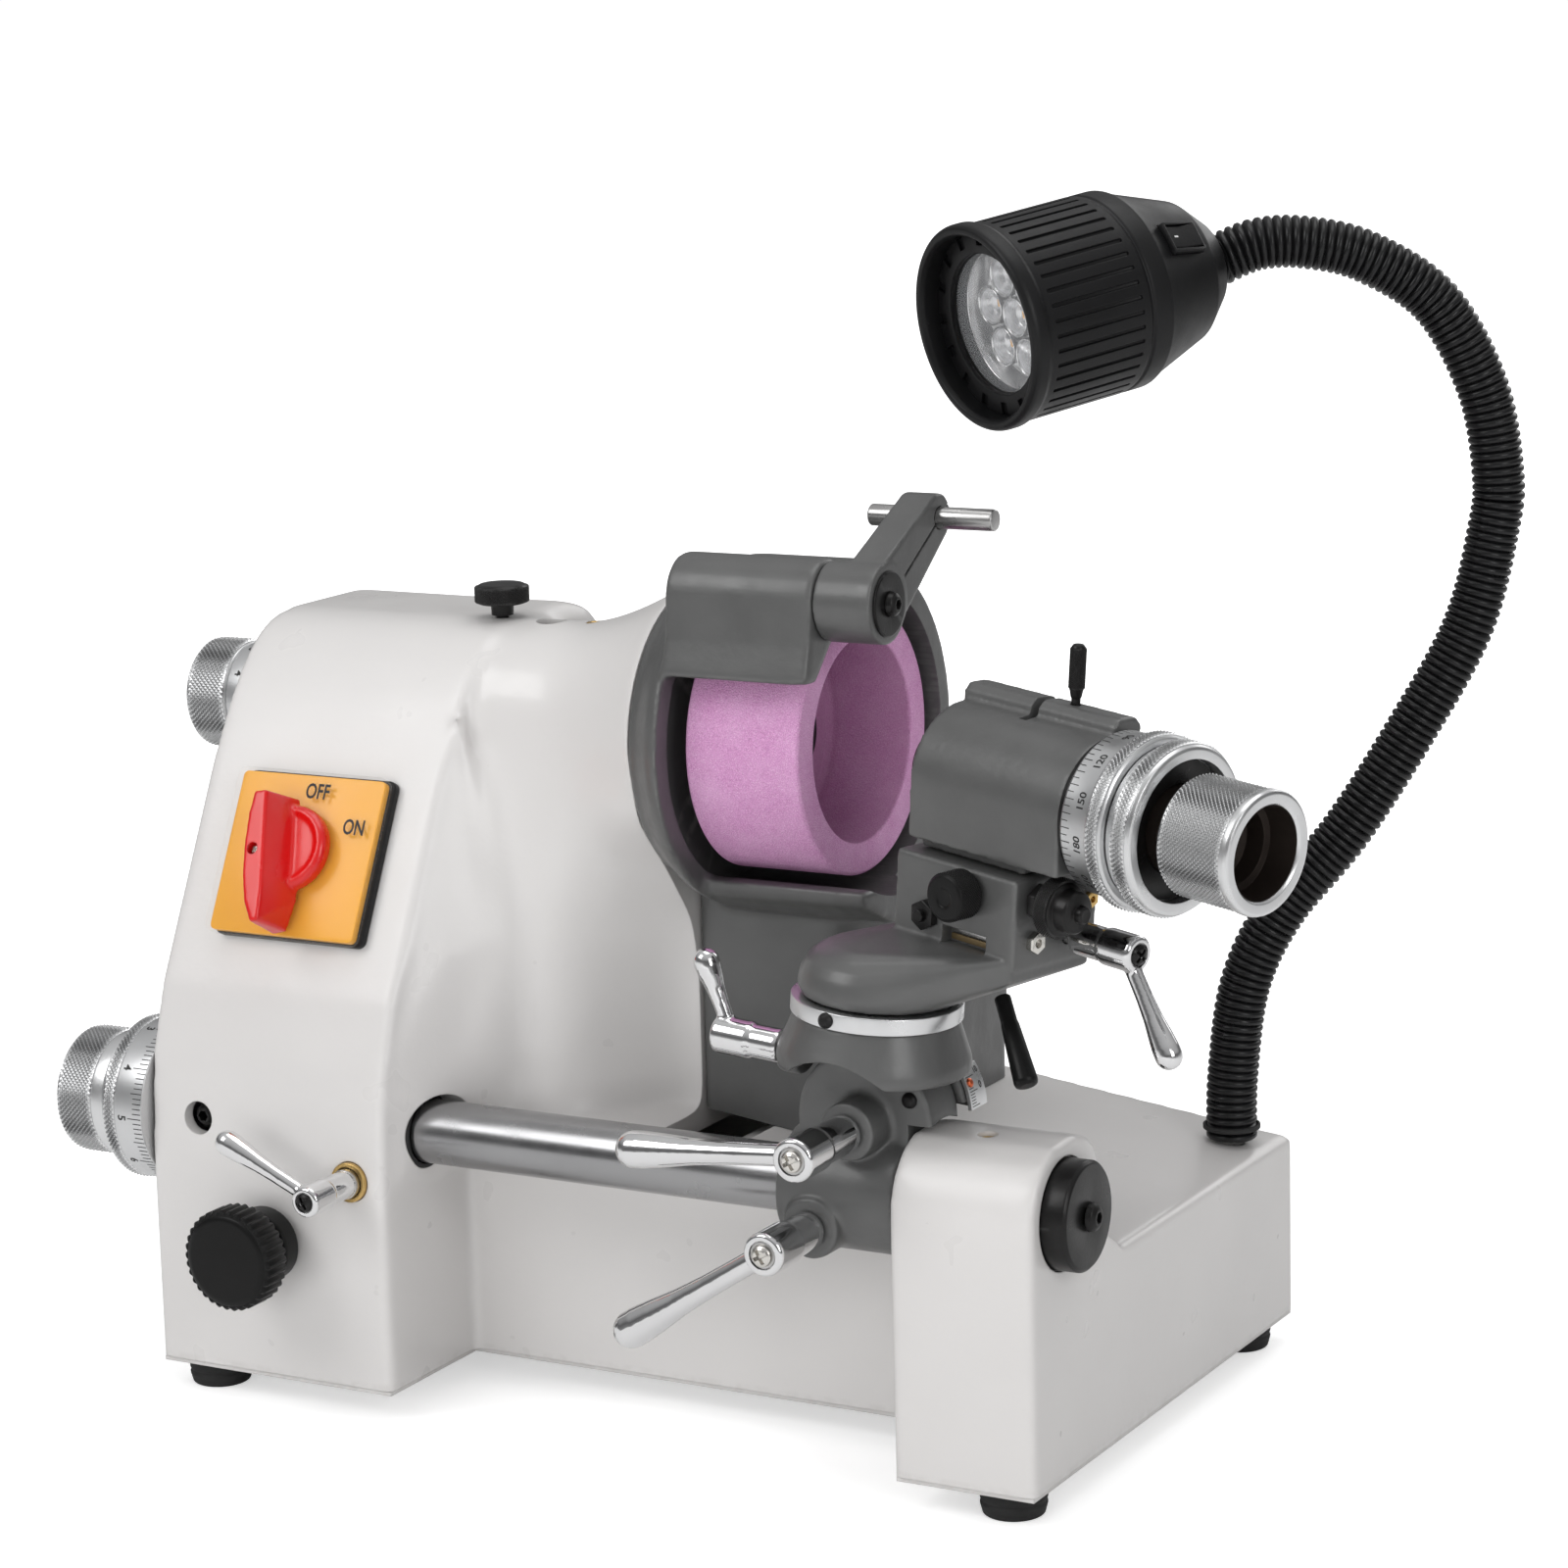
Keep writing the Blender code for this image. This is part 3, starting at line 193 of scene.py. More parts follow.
ZINC = finish_of("zinc_screw", (0.72, 0.70, 0.66), 0.22, 1.0, vary=0.08, rough_vary=0.06, grain=(900, 0.00002), edge=0.0003)
INK = finish_of("dial_ink", (0.02, 0.02, 0.02), 0.55, 0.0, vary=0.3, edge=0.0)
INK_WHITE = finish_of("white_ink", (0.75, 0.75, 0.75), 0.55, 0.0, vary=0.05, edge=0.0)
# painted shade: the insides of the workhead spindle and the draw sleeve's bore are coloured near black for the shade in
# the holes
BORE_SHADE = finish_of("bore_painted_shade", (0.045, 0.035, 0.03), 0.38, 0.7, vary=0.25, rough_vary=0.1, grain=(400, 0.00003), edge=0.0)
MOTOR_BLACK = finish_of("motor_enamel", (0.03, 0.03, 0.032), 0.45, 0.2, vary=0.15, grain=(700, 0.00008))
REFLECTOR = finish_of("lamp_reflector", (0.80, 0.80, 0.80), 0.15, 0.9, vary=0.08, grain=(600, 0.00003))


def abrasive_finish():
    m, nt, shader = graph("violet_abrasive")
    at = coords(nt)
    cell = nt.nodes.new("ShaderNodeTexVoronoi")
    cell.inputs["Scale"].default_value = 1500
    link(nt, at, cell.inputs["Vector"])
    fine = noise_node(nt, at, 2400, 4.0, 0.7)
    wide = noise_node(nt, at, 60, 4.0, 0.6)
    tone = mix_colour(nt, remap(nt, fine, 0, 1, 0.35, 0.65), (0.50, 0.19, 0.42), (0.82, 0.44, 0.73))
    tone = mix_colour(nt, remap(nt, wide, 0, 0.35, 0.35, 0.7), tone, (0.86, 0.54, 0.79))
    flecks = remap(nt, cell.outputs["Distance"], 1.0, 0.0, 0.05, 0.28)
    tone = mix_colour(nt, flecks, tone, (0.92, 0.72, 0.87))
    parts = nt.nodes.new("ShaderNodeSeparateXYZ")
    link(nt, at, parts.inputs[0])
    flat = nt.nodes.new("ShaderNodeCombineXYZ")
    link(nt, parts.outputs["Y"], flat.inputs["Y"])
    link(nt, parts.outputs["Z"], flat.inputs["Z"])
    # painted shade: the abrasive inside the wheel's cup, nearer the spindle axis than about 38 mm, is mixed towards a
    # dark violet
    cup_shade_distance = nt.nodes.new("ShaderNodeVectorMath")
    cup_shade_distance.operation = "DISTANCE"
    cup_shade_distance.inputs[1].default_value = (0, (SPIN[0] - CENTRE.y) * MM, SPIN[1] * MM)
    link(nt, flat.outputs[0], cup_shade_distance.inputs[0])
    tone = mix_colour(nt, remap(nt, cup_shade_distance.outputs["Value"], 0.60, 0.0, 0.0376, 0.0386), tone, (0.32, 0.13, 0.25))
    link(nt, tone, shader.inputs["Base Color"])
    shader.inputs["Roughness"].default_value = 0.93
    shader.inputs["Specular IOR Level"].default_value = 0.25
    n = bump(nt, cell.outputs["Distance"], 0.00035, 0.8, round_edges(nt, 0.0006))
    n = bump(nt, fine, 0.00035, 0.8, n)
    link(nt, n, shader.inputs["Normal"])
    return m


def clear_finish(name, tint, rough=0.04, alpha=0.25):
    m, nt, shader = graph(name)
    at = coords(nt)
    shader.inputs["Base Color"].default_value = (*tint, 1)
    link(nt, remap(nt, noise_node(nt, at, 90, 3.0), rough, rough + 0.05), shader.inputs["Roughness"])
    shader.inputs["Transmission Weight"].default_value = 0.0
    shader.inputs["IOR"].default_value = 1.49
    fres = nt.nodes.new("ShaderNodeLayerWeight")
    fres.inputs["Blend"].default_value = 0.35
    link(nt, remap(nt, fres.outputs["Facing"], alpha * 0.35, min(alpha * 2.6, 1.0)), shader.inputs["Alpha"])
    link(nt, bump(nt, noise_node(nt, at, 140, 2.0), 0.00004), shader.inputs["Normal"])
    return m


ABRASIVE = abrasive_finish()
CLEAR = clear_finish("clear_cover", (0.95, 0.94, 0.92), 0.04, 0.05)
LENS = clear_finish("clear_lens", (0.90, 0.92, 0.95), 0.03, 0.30)
WINDOW = clear_finish("lamp_window", (0.90, 0.92, 0.95), 0.03, 0.07)
DULL_BRASS = finish_of("dull_brass", (0.26, 0.19, 0.10), 0.38, 0.8, vary=0.15, rough_vary=0.08, grain=(900, 0.00003), edge=0.0003)

# ---------------------------------------------------------------- geometry helpers


def OUT(points):
    return (np.asarray(points, float) - np.array(CENTRE)) * MM


def make(name, verts, faces, mat, smooth=38):
    """A mesh object from points in mm, with its normals facing out and its edges split by angle."""
    mesh = bpy.data.meshes.new(name)
    mesh.from_pydata([tuple(p) for p in OUT(verts)], [], [tuple(int(i) for i in f) for f in faces])
    bm = bmesh.new()
    bm.from_mesh(mesh)
    bmesh.ops.remove_doubles(bm, verts=bm.verts, dist=1e-7)
    bmesh.ops.recalc_face_normals(bm, faces=bm.faces)
    bm.to_mesh(mesh)
    bm.free()
    if smooth:
        mesh.polygons.foreach_set("use_smooth", [True] * len(mesh.polygons))
        mesh.set_sharp_from_angle(angle=math.radians(smooth))
    obj = bpy.data.objects.new(name, mesh)
    bpy.context.scene.collection.objects.link(obj)
    if mat:
        mesh.materials.append(mat)
    return obj


def frame_of(origin, z_axis, x_hint=(1, 0, 0)):
    z = Vector(z_axis).normalized()
    x = Vector(x_hint)
    if abs(x.normalized().dot(z)) > 0.99:
        x = Vector((0, 1, 0))
    y = z.cross(x).normalized()
    x = y.cross(z).normalized()
    made = Matrix((x, y, z)).transposed().to_4x4()
    made.translation = Vector(origin)
    return made


def to_np(where):
    return np.array(where if where is not None else Matrix.Identity(4), float)


def put(points, where):
    w = to_np(where)
    return np.asarray(points, float) @ w[:3, :3].T + w[:3, 3]


def soft(profile, r=0.5, ring=False, n=3):
    """Rounds the corners of a 2-D chain."""
    pts = [np.array(p, float) for p in profile]
    out = []
    count = len(pts)
    for i, p in enumerate(pts):
        if not ring and i in (0, count - 1):
            out.append(tuple(p))
            continue
        a, b = pts[i - 1], pts[(i + 1) % count]
        la, lb = np.linalg.norm(a - p), np.linalg.norm(b - p)
        if la < 1e-9 or lb < 1e-9:
            continue
        ua, ub = (a - p) / la, (b - p) / lb
        if np.dot(ua, ub) < -0.985:
            out.append(tuple(p))
            continue
        ca, cb = min(r, la * 0.45), min(r, lb * 0.45)
        s, e = p + ua * ca, p + ub * cb
        for k in range(n + 1):
            t = k / n
            out.append(tuple((1 - t) ** 2 * s + 2 * t * (1 - t) * p + t * t * e))
    return out


def lathe_data(profile, steps=96, ring=False):
    verts, faces, rows = [], [], []
    for r, h in profile:
        if r < 1e-6:
            rows.append([len(verts)])
            verts.append((0, 0, h))
        else:
            rows.append(list(range(len(verts), len(verts) + steps)))
            for k in range(steps):
                t = math.tau * k / steps
                verts.append((r * math.cos(t), r * math.sin(t), h))
    pairs = list(zip(rows, rows[1:])) + ([(rows[-1], rows[0])] if ring else [])
    for a, b in pairs:
        for k in range(steps):
            j = (k + 1) % steps
            if len(a) == 1 and len(b) == 1:
                break
            if len(a) == 1:
                faces.append((a[0], b[j], b[k]))
            elif len(b) == 1:
                faces.append((a[k], a[j], b[0]))
            else:
                faces.append((a[k], a[j], b[j], b[k]))
    return verts, faces


def lathe(name, profile, mat, where, steps=96, ring=False, r=0.45, smooth=38):
    if r:
        profile = soft(profile, r, ring)
    v, f = lathe_data(profile, steps, ring)
    return make(name, put(v, where), f, mat, smooth)


def rod(name, radius, h0, h1, mat, where, steps=64, r=0.5):
    return lathe(name, [(0, h1), (radius, h1), (radius, h0), (0, h0)], mat, where, steps, r=r)


def tube(name, ro, ri, h0, h1, mat, where, steps=96, r=0.4):
    return lathe(name, [(ro, h1), (ro, h0), (ri, h0), (ri, h1)], mat, where, steps, ring=True, r=r)


def knurl(name, radius, h0, h1, mat, where, pitch=1.45, depth=0.45, inner=2.0, flute=False):
    """A band of raised diamonds, one four-sided pyramid each, closed underneath; flutes for a moulded grip."""
    if flute:
        n = flute
        ang = np.linspace(0, math.tau, n * 8, endpoint=False)
        wave = radius - depth * (0.5 - 0.5 * np.cos(ang * n)) ** 1.5
        prof = [(0.0, h1), (1.0, h1 - 1.2), (1.0, h0 + 1.2), (0.0, h0)]
        verts, faces = [], []
        rings = [(wave - inner, h1), (wave - 0.9, h1), (wave, h1 - 1.0), (wave, h0 + 1.0), (wave - 0.9, h0), (wave - inner, h0)]
        for w, h in rings:
            verts += [(a * math.cos(t), a * math.sin(t), h) for a, t in zip(w, ang)]
        m = len(ang)
        for q in range(len(rings)):
            p = (q + 1) % len(rings)
            for k in range(m):
                j = (k + 1) % m
                faces.append((q * m + k, q * m + j, p * m + j, p * m + k))
        return make(name, put(verts, where), faces, mat, 40)
    n = max(int(round(math.tau * radius / pitch)), 8)
    rows = max(int(round((h1 - h0) / pitch)) * 2, 4)
    cols = 2 * n
    verts, faces = [], []
    for j in range(rows + 1):
        h = h0 + (h1 - h0) * j / rows
        for i in range(cols):
            low = (i + j) % 2 == 0 or j in (0, rows)
            a = radius - depth if low else radius
            t = math.tau * i / cols
            verts.append((a * math.cos(t), a * math.sin(t), h))
    for j in range(1, rows):
        for i in range(cols):
            if (i + j) % 2:
                c, le, ri = j * cols + i, j * cols + (i - 1) % cols, j * cols + (i + 1) % cols
                up, dn = (j + 1) * cols + i, (j - 1) * cols + i
                faces += [(c, ri, up), (c, up, le), (c, le, dn), (c, dn, ri)]
    for i in range(cols):
        j = (i + 1) % cols
        if (i + 1) % 2 == 0:
            pass
    # the half diamonds at the two rims
    for row, nxt in ((0, 1), (rows, rows - 1)):
        for i in range(cols):
            j = (i + 1) % cols
            a, b = row * cols + i, row * cols + j
            ca, cb = nxt * cols + i, nxt * cols + j
            if (i + nxt) % 2 == 0:
                faces.append((a, b, ca))
            else:
                faces.append((a, b, cb))
    base = len(verts)
    for h in (h0, h1):
        for i in range(cols):
            t = math.tau * i / cols
            verts.append(((radius - inner) * math.cos(t), (radius - inner) * math.sin(t), h))
    for i in range(cols):
        j = (i + 1) % cols
        faces += [(i, j, base + j, base + i), (rows * cols + i, rows * cols + j, base + cols + j, base + cols + i),
                  (base + i, base + j, base + cols + j, base + cols + i)]
    return make(name, put(verts, where), faces, mat, 0)


def edged(name, bm, mat, bevel, segments=3, smooth=38):
    bmesh.ops.recalc_face_normals(bm, faces=bm.faces)
    if bevel:
        bmesh.ops.bevel(bm, geom=[e for e in bm.edges if len(e.link_faces) == 2 and e.calc_face_angle(0) > 0.6], offset=bevel,
                        segments=segments, affect="EDGES", profile=0.5)
    verts = [tuple(v.co) for v in bm.verts]
    bm.verts.index_update()
    faces = [tuple(v.index for v in f.verts) for f in bm.faces]
    bm.free()
    return verts, faces


def box(name, low, high, mat, where=None, bevel=0.5, segments=3):
    bm = bmesh.new()
    bmesh.ops.create_cube(bm, size=1.0)
    for v in bm.verts:
        v.co = Vector([c * (b - a) + (a + b) / 2 for c, a, b in zip(v.co, low, high)])
    v, f = edged(name, bm, mat, bevel, segments)
    return make(name, put(v, where), f, mat)


def prism(name, outline, plane, low, high, mat, where=None, bevel=0.0, segments=3):
    bm = bmesh.new()
    place = {"YZ": lambda u, v, w: (w, u, v), "XZ": lambda u, v, w: (u, w, v), "XY": lambda u, v, w: (u, v, w)}[plane]
    a = [bm.verts.new(place(u, v, low)) for u, v in outline]
    b = [bm.verts.new(place(u, v, high)) for u, v in outline]
    bm.faces.new(a)
    bm.faces.new(list(reversed(b)))
    for i in range(len(a)):
        j = (i + 1) % len(a)
        bm.faces.new((a[i], a[j], b[j], b[i]))
    v, f = edged(name, bm, mat, bevel, segments)
    return make(name, put(v, where), f, mat)


def loft(name, sections, mat, where=None):
    verts, faces = [], []
    n = len(sections[0])
    for s in sections:
        verts += [tuple(p) for p in s]
    for q in range(len(sections) - 1):
        for i in range(n):
            j = (i + 1) % n
            faces.append((q * n + i, q * n + j, (q + 1) * n + j, (q + 1) * n + i))
    faces.append(tuple(range(n)))
    faces.append(tuple(range((len(sections) - 1) * n, len(sections) * n)))
    return make(name, put(verts, where), faces, mat)


def hull(name, points, mat):
    bm = bmesh.new()
    for p in points:
        bm.verts.new(Vector(p))
    made = bmesh.ops.convex_hull(bm, input=bm.verts)
    spare = [v for v in made["geom_interior"] if isinstance(v, bmesh.types.BMVert)]
    if spare:
        bmesh.ops.delete(bm, geom=spare, context="VERTS")
    bm.verts.index_update()
    verts = [tuple(v.co) for v in bm.verts]
    faces = [tuple(v.index for v in f.verts) for f in bm.faces]
    bm.free()
    return make(name, verts, faces, mat)


def arc(cx, cy, r, start, end, count):
    step = (end - start) / (count - 1)
    return [(cx + r * math.cos(math.radians(start + i * step)), cy + r * math.sin(math.radians(start + i * step))) for i in range(count)]


def drop(*objs):
    for o in objs:
        data = o.data
        bpy.data.objects.remove(o, do_unlink=True)
        if data.users == 0:
            bpy.data.meshes.remove(data)


def applied(obj):
    """Bakes an object's modifiers into its mesh."""
    bpy.context.view_layer.update()
    mesh = bpy.data.meshes.new_from_object(obj.evaluated_get(bpy.context.evaluated_depsgraph_get()))
    obj.modifiers.clear()
    old = obj.data
    obj.data = mesh
    if old.users == 0:
        bpy.data.meshes.remove(old)
    return obj


def boolean(obj, others, op="DIFFERENCE", solver="EXACT"):
    for o in others:
        m = obj.modifiers.new("b", "BOOLEAN")
        m.operation, m.object, m.solver = op, o, solver
    applied(obj)
    drop(*others)
    return obj


def merged(name, objs):
    """Several meshes as one, unjoined."""
    bm = bmesh.new()
    for o in objs:
        bm.from_mesh(o.data)
    mesh = bpy.data.meshes.new(name)
    bm.to_mesh(mesh)
    bm.free()
    obj = bpy.data.objects.new(name, mesh)
    bpy.context.scene.collection.objects.link(obj)
    drop(*objs)
    return obj


def relax(obj, passes, weight=None, factor=0.5):
    """Laplacian smoothing in plain arrays; weight gives each vertex a share of the passes."""
    mesh = obj.data
    n = len(mesh.vertices)
    co = np.empty(n * 3)
    mesh.vertices.foreach_get("co", co)
    co = co.reshape(-1, 3)
    e = np.empty(len(mesh.edges) * 2, int)
    mesh.edges.foreach_get("vertices", e)
    e = e.reshape(-1, 2)
    deg = np.bincount(e.ravel(), minlength=n).astype(float)
    share = np.ones(n) if weight is None else weight(co / MM + np.array(CENTRE))
    for k in range(passes):
        acc = np.empty_like(co)
        for a in range(3):
            acc[:, a] = np.bincount(e[:, 0], co[e[:, 1], a], n) + np.bincount(e[:, 1], co[e[:, 0], a], n)
        step = factor * np.clip(share * passes - k, 0, 1)[:, None]
        co = co + step * (acc / deg[:, None] - co)
    mesh.vertices.foreach_set("co", co.ravel())
    mesh.update()
    return obj


def cast(name, solids, mat, voxel, passes, cuts=(), weight=None, pre=(), smooth=45, thin=0.0):
    """A cast or moulded piece: overlapping solids made one skin, its edges and inside corners rounded, then bored."""
    obj = merged(name, solids)
    if pre:
        obj = boolean_skin(obj, pre)
    m = obj.modifiers.new("skin", "REMESH")
    m.mode = "VOXEL"
    m.voxel_size = voxel * MM
    m.use_smooth_shade = True
    applied(obj)
    relax(obj, passes, weight)
    if thin:
        d = obj.modifiers.new("thin", "DECIMATE")
        d.ratio = thin
        applied(obj)
    for c in cuts:
        boolean(obj, [c], "DIFFERENCE", "EXACT")
    mesh = obj.data
    mesh.materials.clear()
    mesh.materials.append(mat)
    mesh.polygons.foreach_set("material_index", [0] * len(mesh.polygons))
    mesh.polygons.foreach_set("use_smooth", [True] * len(mesh.polygons))
    mesh.set_sharp_from_angle(angle=math.radians(smooth))
    return obj


def boolean_skin(obj, pre):
    for c in pre:
        m = obj.modifiers.new("b", "BOOLEAN")
        m.operation, m.object, m.solver = "DIFFERENCE", c, "EXACT"
        m.use_self = True
    applied(obj)
    drop(*pre)
    return obj


def piece(obj, body, *nodes, slot=None):
    if nodes:
        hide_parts(*nodes)
    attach(obj, body)
    return obj


def text_data(body, size, spacing=1.0):
    data = bpy.data.curves.new("t", "FONT")
    data.body = body
    data.size = 1.0
    data.space_character = spacing
    data.align_x, data.align_y = "CENTER", "CENTER"
    data.resolution_u = 3
    data.extrude = 0.0
    data.offset = 0.02
    obj = bpy.data.objects.new("t", data)
    bpy.context.scene.collection.objects.link(obj)
    bpy.context.view_layer.update()
    mesh = bpy.data.meshes.new_from_object(obj.evaluated_get(bpy.context.evaluated_depsgraph_get()))
    verts = [(v.co.x * size, v.co.y * size) for v in mesh.vertices]
    faces = [tuple(p.vertices) for p in mesh.polygons]
    bpy.data.objects.remove(obj, do_unlink=True)
    bpy.data.meshes.remove(mesh)
    return verts, faces


def flat_marks(name, marks, mat, where, lift=0.05):
    """Printed marks on a flat face. marks are ("text", body, size, u, v, turn) or ("bar", u0, v0, u1, v1)."""
    verts, faces = [], []
    for m in marks:
        if m[0] == "text":
            v, f = text_data(m[1], m[2])
            c, s = math.cos(math.radians(m[5])), math.sin(math.radians(m[5]))
            k = m[6] if len(m) > 6 else 1.0
            v = [(m[3] + x * k * c - y * s, m[4] + x * k * s + y * c) for x, y in v]
        else:
            v, f = [(m[1], m[2]), (m[3], m[2]), (m[3], m[4]), (m[1], m[4])], [(0, 1, 2, 3)]
        base = len(verts)
        verts += [(x, y, lift) for x, y in v]
        faces += [tuple(base + i for i in g) for g in f]
    top = len(verts)
    both = verts + [(x, y, z - 0.03) for x, y, z in verts]
    return make(name, put(both, where), faces + [tuple(top + i for i in reversed(g)) for g in faces], mat, 0)


def ring_marks(name, marks, mat, where, radius_at, lift=0.06):
    """Engraved marks round a cylinder or cone. marks are ("text", body, size, degrees, height, turn) or ("tick", degrees, h0, h1, width)."""
    verts, faces = [], []
    for m in marks:
        if m[0] == "text":
            v, f = text_data(m[1], m[2])
            c, s = math.cos(math.radians(m[5])), math.sin(math.radians(m[5]))
            v = [(x * c - y * s, x * s + y * c) for x, y in v]
            a0, h0 = m[3], m[4]
        else:
            w = m[4] / 2
            v = [(-w, m[2]), (w, m[2]), (w, m[3]), (-w, m[3])]
            f = [(0, 1, 2, 3)]
            a0, h0 = m[1], 0.0
        base = len(verts)
        for x, y in v:
            h = h0 + y
            r = radius_at(h) + lift
            t = math.radians(a0) + x / r
            verts.append((r * math.cos(t), r * math.sin(t), h))
        faces += [tuple(base + i for i in g) for g in f]
    return make(name, put(verts, where), faces, mat, 0)


def along_x(x, y, z):
    return frame_of((x, y, z), (1, 0, 0), (0, 1, 0))


def along_minus_y(x, y, z):
    return frame_of((x, y, z), (0, -1, 0))


SX, LOW = along_x(0, *SPIN), along_x(0, *BAR)
HEAD_M = Matrix.Translation((265.8, -100.0, 241.6)) @ Matrix.Rotation(math.radians(-16.5), 4, "Z") @ Matrix.Rotation(math.radians(4.9), 4, "Y")
CONE_M = Matrix.Translation((TILT[0], CONE_Y, TILT[1])) @ Matrix.Rotation(math.radians(4.9), 4, "Y")
TX, TZ = TILT


def head_axis(s=0.0, b=0.0, n=0.0):
    return HEAD_M @ frame_of((s, b, n), (1, 0, 0), (0, 1, 0))


def in_cone(p):
    return CONE_M @ Vector(p)


def in_head(p):
    return HEAD_M @ Vector(p)


def socket_screw(name, radius, height, mat, where, body, hexr=None, dome=True, slot=None):
    """A button-head or cap screw with a hexagon socket."""
    hexr = hexr or radius * 0.5
    prof = [(0, height), (radius * 0.55, height), (radius * 0.9, height * 0.72), (radius, height * 0.2), (radius, 0), (0, 0)] if dome else [
        (0, height), (radius, height), (radius, 0), (0, 0)]
    obj = lathe(name, prof, mat, where, 40, r=0.25)
    hexagon = prism(name + "_k", [(hexr * math.cos(math.radians(60 * k)), hexr * math.sin(math.radians(60 * k))) for k in range(6)], "XY",
                    height * 0.25, height + 2, None, where)
    boolean(obj, [hexagon])
    obj.data.set_sharp_from_angle(angle=math.radians(35))
    return piece(obj, body, slot=slot)


def cross_screw(name, radius, height, mat, where, body, slot=None):
    """A pan-head screw with a cross recess."""
    obj = lathe(name, [(0, height), (radius * 0.6, height * 0.95), (radius * 0.92, height * 0.6), (radius, 0), (0, 0)], mat, where, 40, r=0.3)
    w, l = radius * 0.16, radius * 0.68
    for a, b in (((-l, -w), (l, w)), ((-w, -l), (w, l))):
        boolean(obj, [box(name + "_k", (*a, height * 0.12), (*b, height + 2), None, where @ Matrix.Rotation(0.5, 4, "Z"), bevel=0)])
    obj.data.set_sharp_from_angle(angle=math.radians(35))
    return piece(obj, body, slot=slot)

# ---------------------------------------------------------------- base casting


def deck(x, up=0.0):
    return 81.3 + 0.128 * (X1 - max(x, 0.0)) + up


COLUMN_FRONT = [
    (-114.7, 3), (-114.5, 72), (-113.2, 108), (-110.6, 132), (-102.8, 156.5), (-64.8, 233.0),
    (-56.5, 247), (-46.5, 262), (-33.5, 277.5), (-22.5, 284.2), (-10.0, 286.4),
]
COLUMN_BACK = [(36, 286.4), (50, 282.5), (60, 273), (65, 259), (72, 205), (112, 152), (Y1, 146), (Y1, 3)]
FRONT_Z = [z for _, z in COLUMN_FRONT]
FRONT_Y = [y for y, _ in COLUMN_FRONT]


def column_front_y(z):
    return float(np.interp(z, FRONT_Z, FRONT_Y))


def smooth_chain(points, per=4):
    """Catmull-Rom points through a chain."""
    out = []
    for i in range(len(points) - 1):
        p0, p1, p2, p3 = points[max(i - 1, 0)], points[i], points[i + 1], points[min(i + 2, len(points) - 1)]
        for k in range(per):
            t = k / per
            out.append(tuple(0.5 * (2 * b + (c - a) * t + (2 * a - 5 * b + 4 * c - d) * t * t + (3 * b - a - 3 * c + d) * t**3)
                             for a, b, c, d in zip(p0, p1, p2, p3)))
    out.append(tuple(points[-1]))
    return out


def barrel_section(x):
    t = min(max((x + 50.0) / 50.0, 0.0), 1.0)
    ease = t * t * (3 - 2 * t)
    r = 37.0 + 19.0 * (t**1.5 if t > 0 else 0)
    cy, cz = SPIN
    near = [(-57, 90), (-57, 130), (-56.8, 165), (-55.5, 185), (-51.5, 210), (-46.8, 232)]
    far = [(-15, 90), (-15, 130), (-15, 160), (-19, 179), (-37, 202), (-56, 222)]
    front = [(a + (c - a) * ease, b + (d - b) * ease) for (a, b), (c, d) in zip(near, far)]
    top = arc(cy, cz, r, 180, 0, 33)
    back = [(cy + r + 3 * ease, 222), (56 + 8 * ease, 190), (74 + 18 * ease, 150), (76 + 18 * ease, 90)]
    return [(x, y, z) for y, z in front + top + back]


def fairing_section(z, width):
    ridge = column_front_y(z) + 0.4
    root = COLUMN_X - 1.5
    edge = (root + 1.5 + width, RECESS_Y + 0.8)
    mid = ((root + edge[0]) / 2 + 0.5, (ridge + edge[1]) / 2 + 2.5)
    return [(root, ridge, z), (mid[0], mid[1], z), (edge[0], edge[1], z), (edge[0], edge[1] + 8, z), (root, RECESS_Y + 9, z)]


solids = [
    prism("s_column", smooth_chain(COLUMN_FRONT[:4], 2) + COLUMN_FRONT[4:6] + smooth_chain(COLUMN_FRONT[6:], 3) + COLUMN_BACK, "YZ", X0, COLUMN_X, None),
    prism("s_block", [(X0 + 8, 3), (X1, 3), (X1, deck(X1)), (0, deck(0)), (X0 + 8, deck(0))], "XZ", RECESS_Y, Y1 - 0.01, None),
    loft("s_barrel", [barrel_section(x) for x in (-84, -66, -50, -44, -38, -32, -26, -20, -13, -6, 0)] + [[(12.0, y, z) for _, y, z in barrel_section(0)]],
         None),
    loft("s_fairing", [fairing_section(z, w) for z, w in ((84, 0.6), (115, 23), (129, 29.5), (175, 29.5), (206, 20), (250, 2.5), (256, 0.6))], None),
    prism("s_pillar", [(Y0, 3), (Y0, 105), (-113.9, 112.8), (-110.4, 120.2), (-104.5, 127), (-96, 131.2), (-80, 131.8), (-73, 130.8), (-67, 128.6),
                       (-64.8, 126.6), (-61, 122.2), (-58.9, 116), (-57.6, 105), (-56, 95), (-52, 89.5), (-44, 84.5), (-30, 70), (-30, 3)],
          "YZ", PILLAR_X, X1 - 0.01, None),
]
UPZ = frame_of((0, 0, 0), (0, 0, 1))
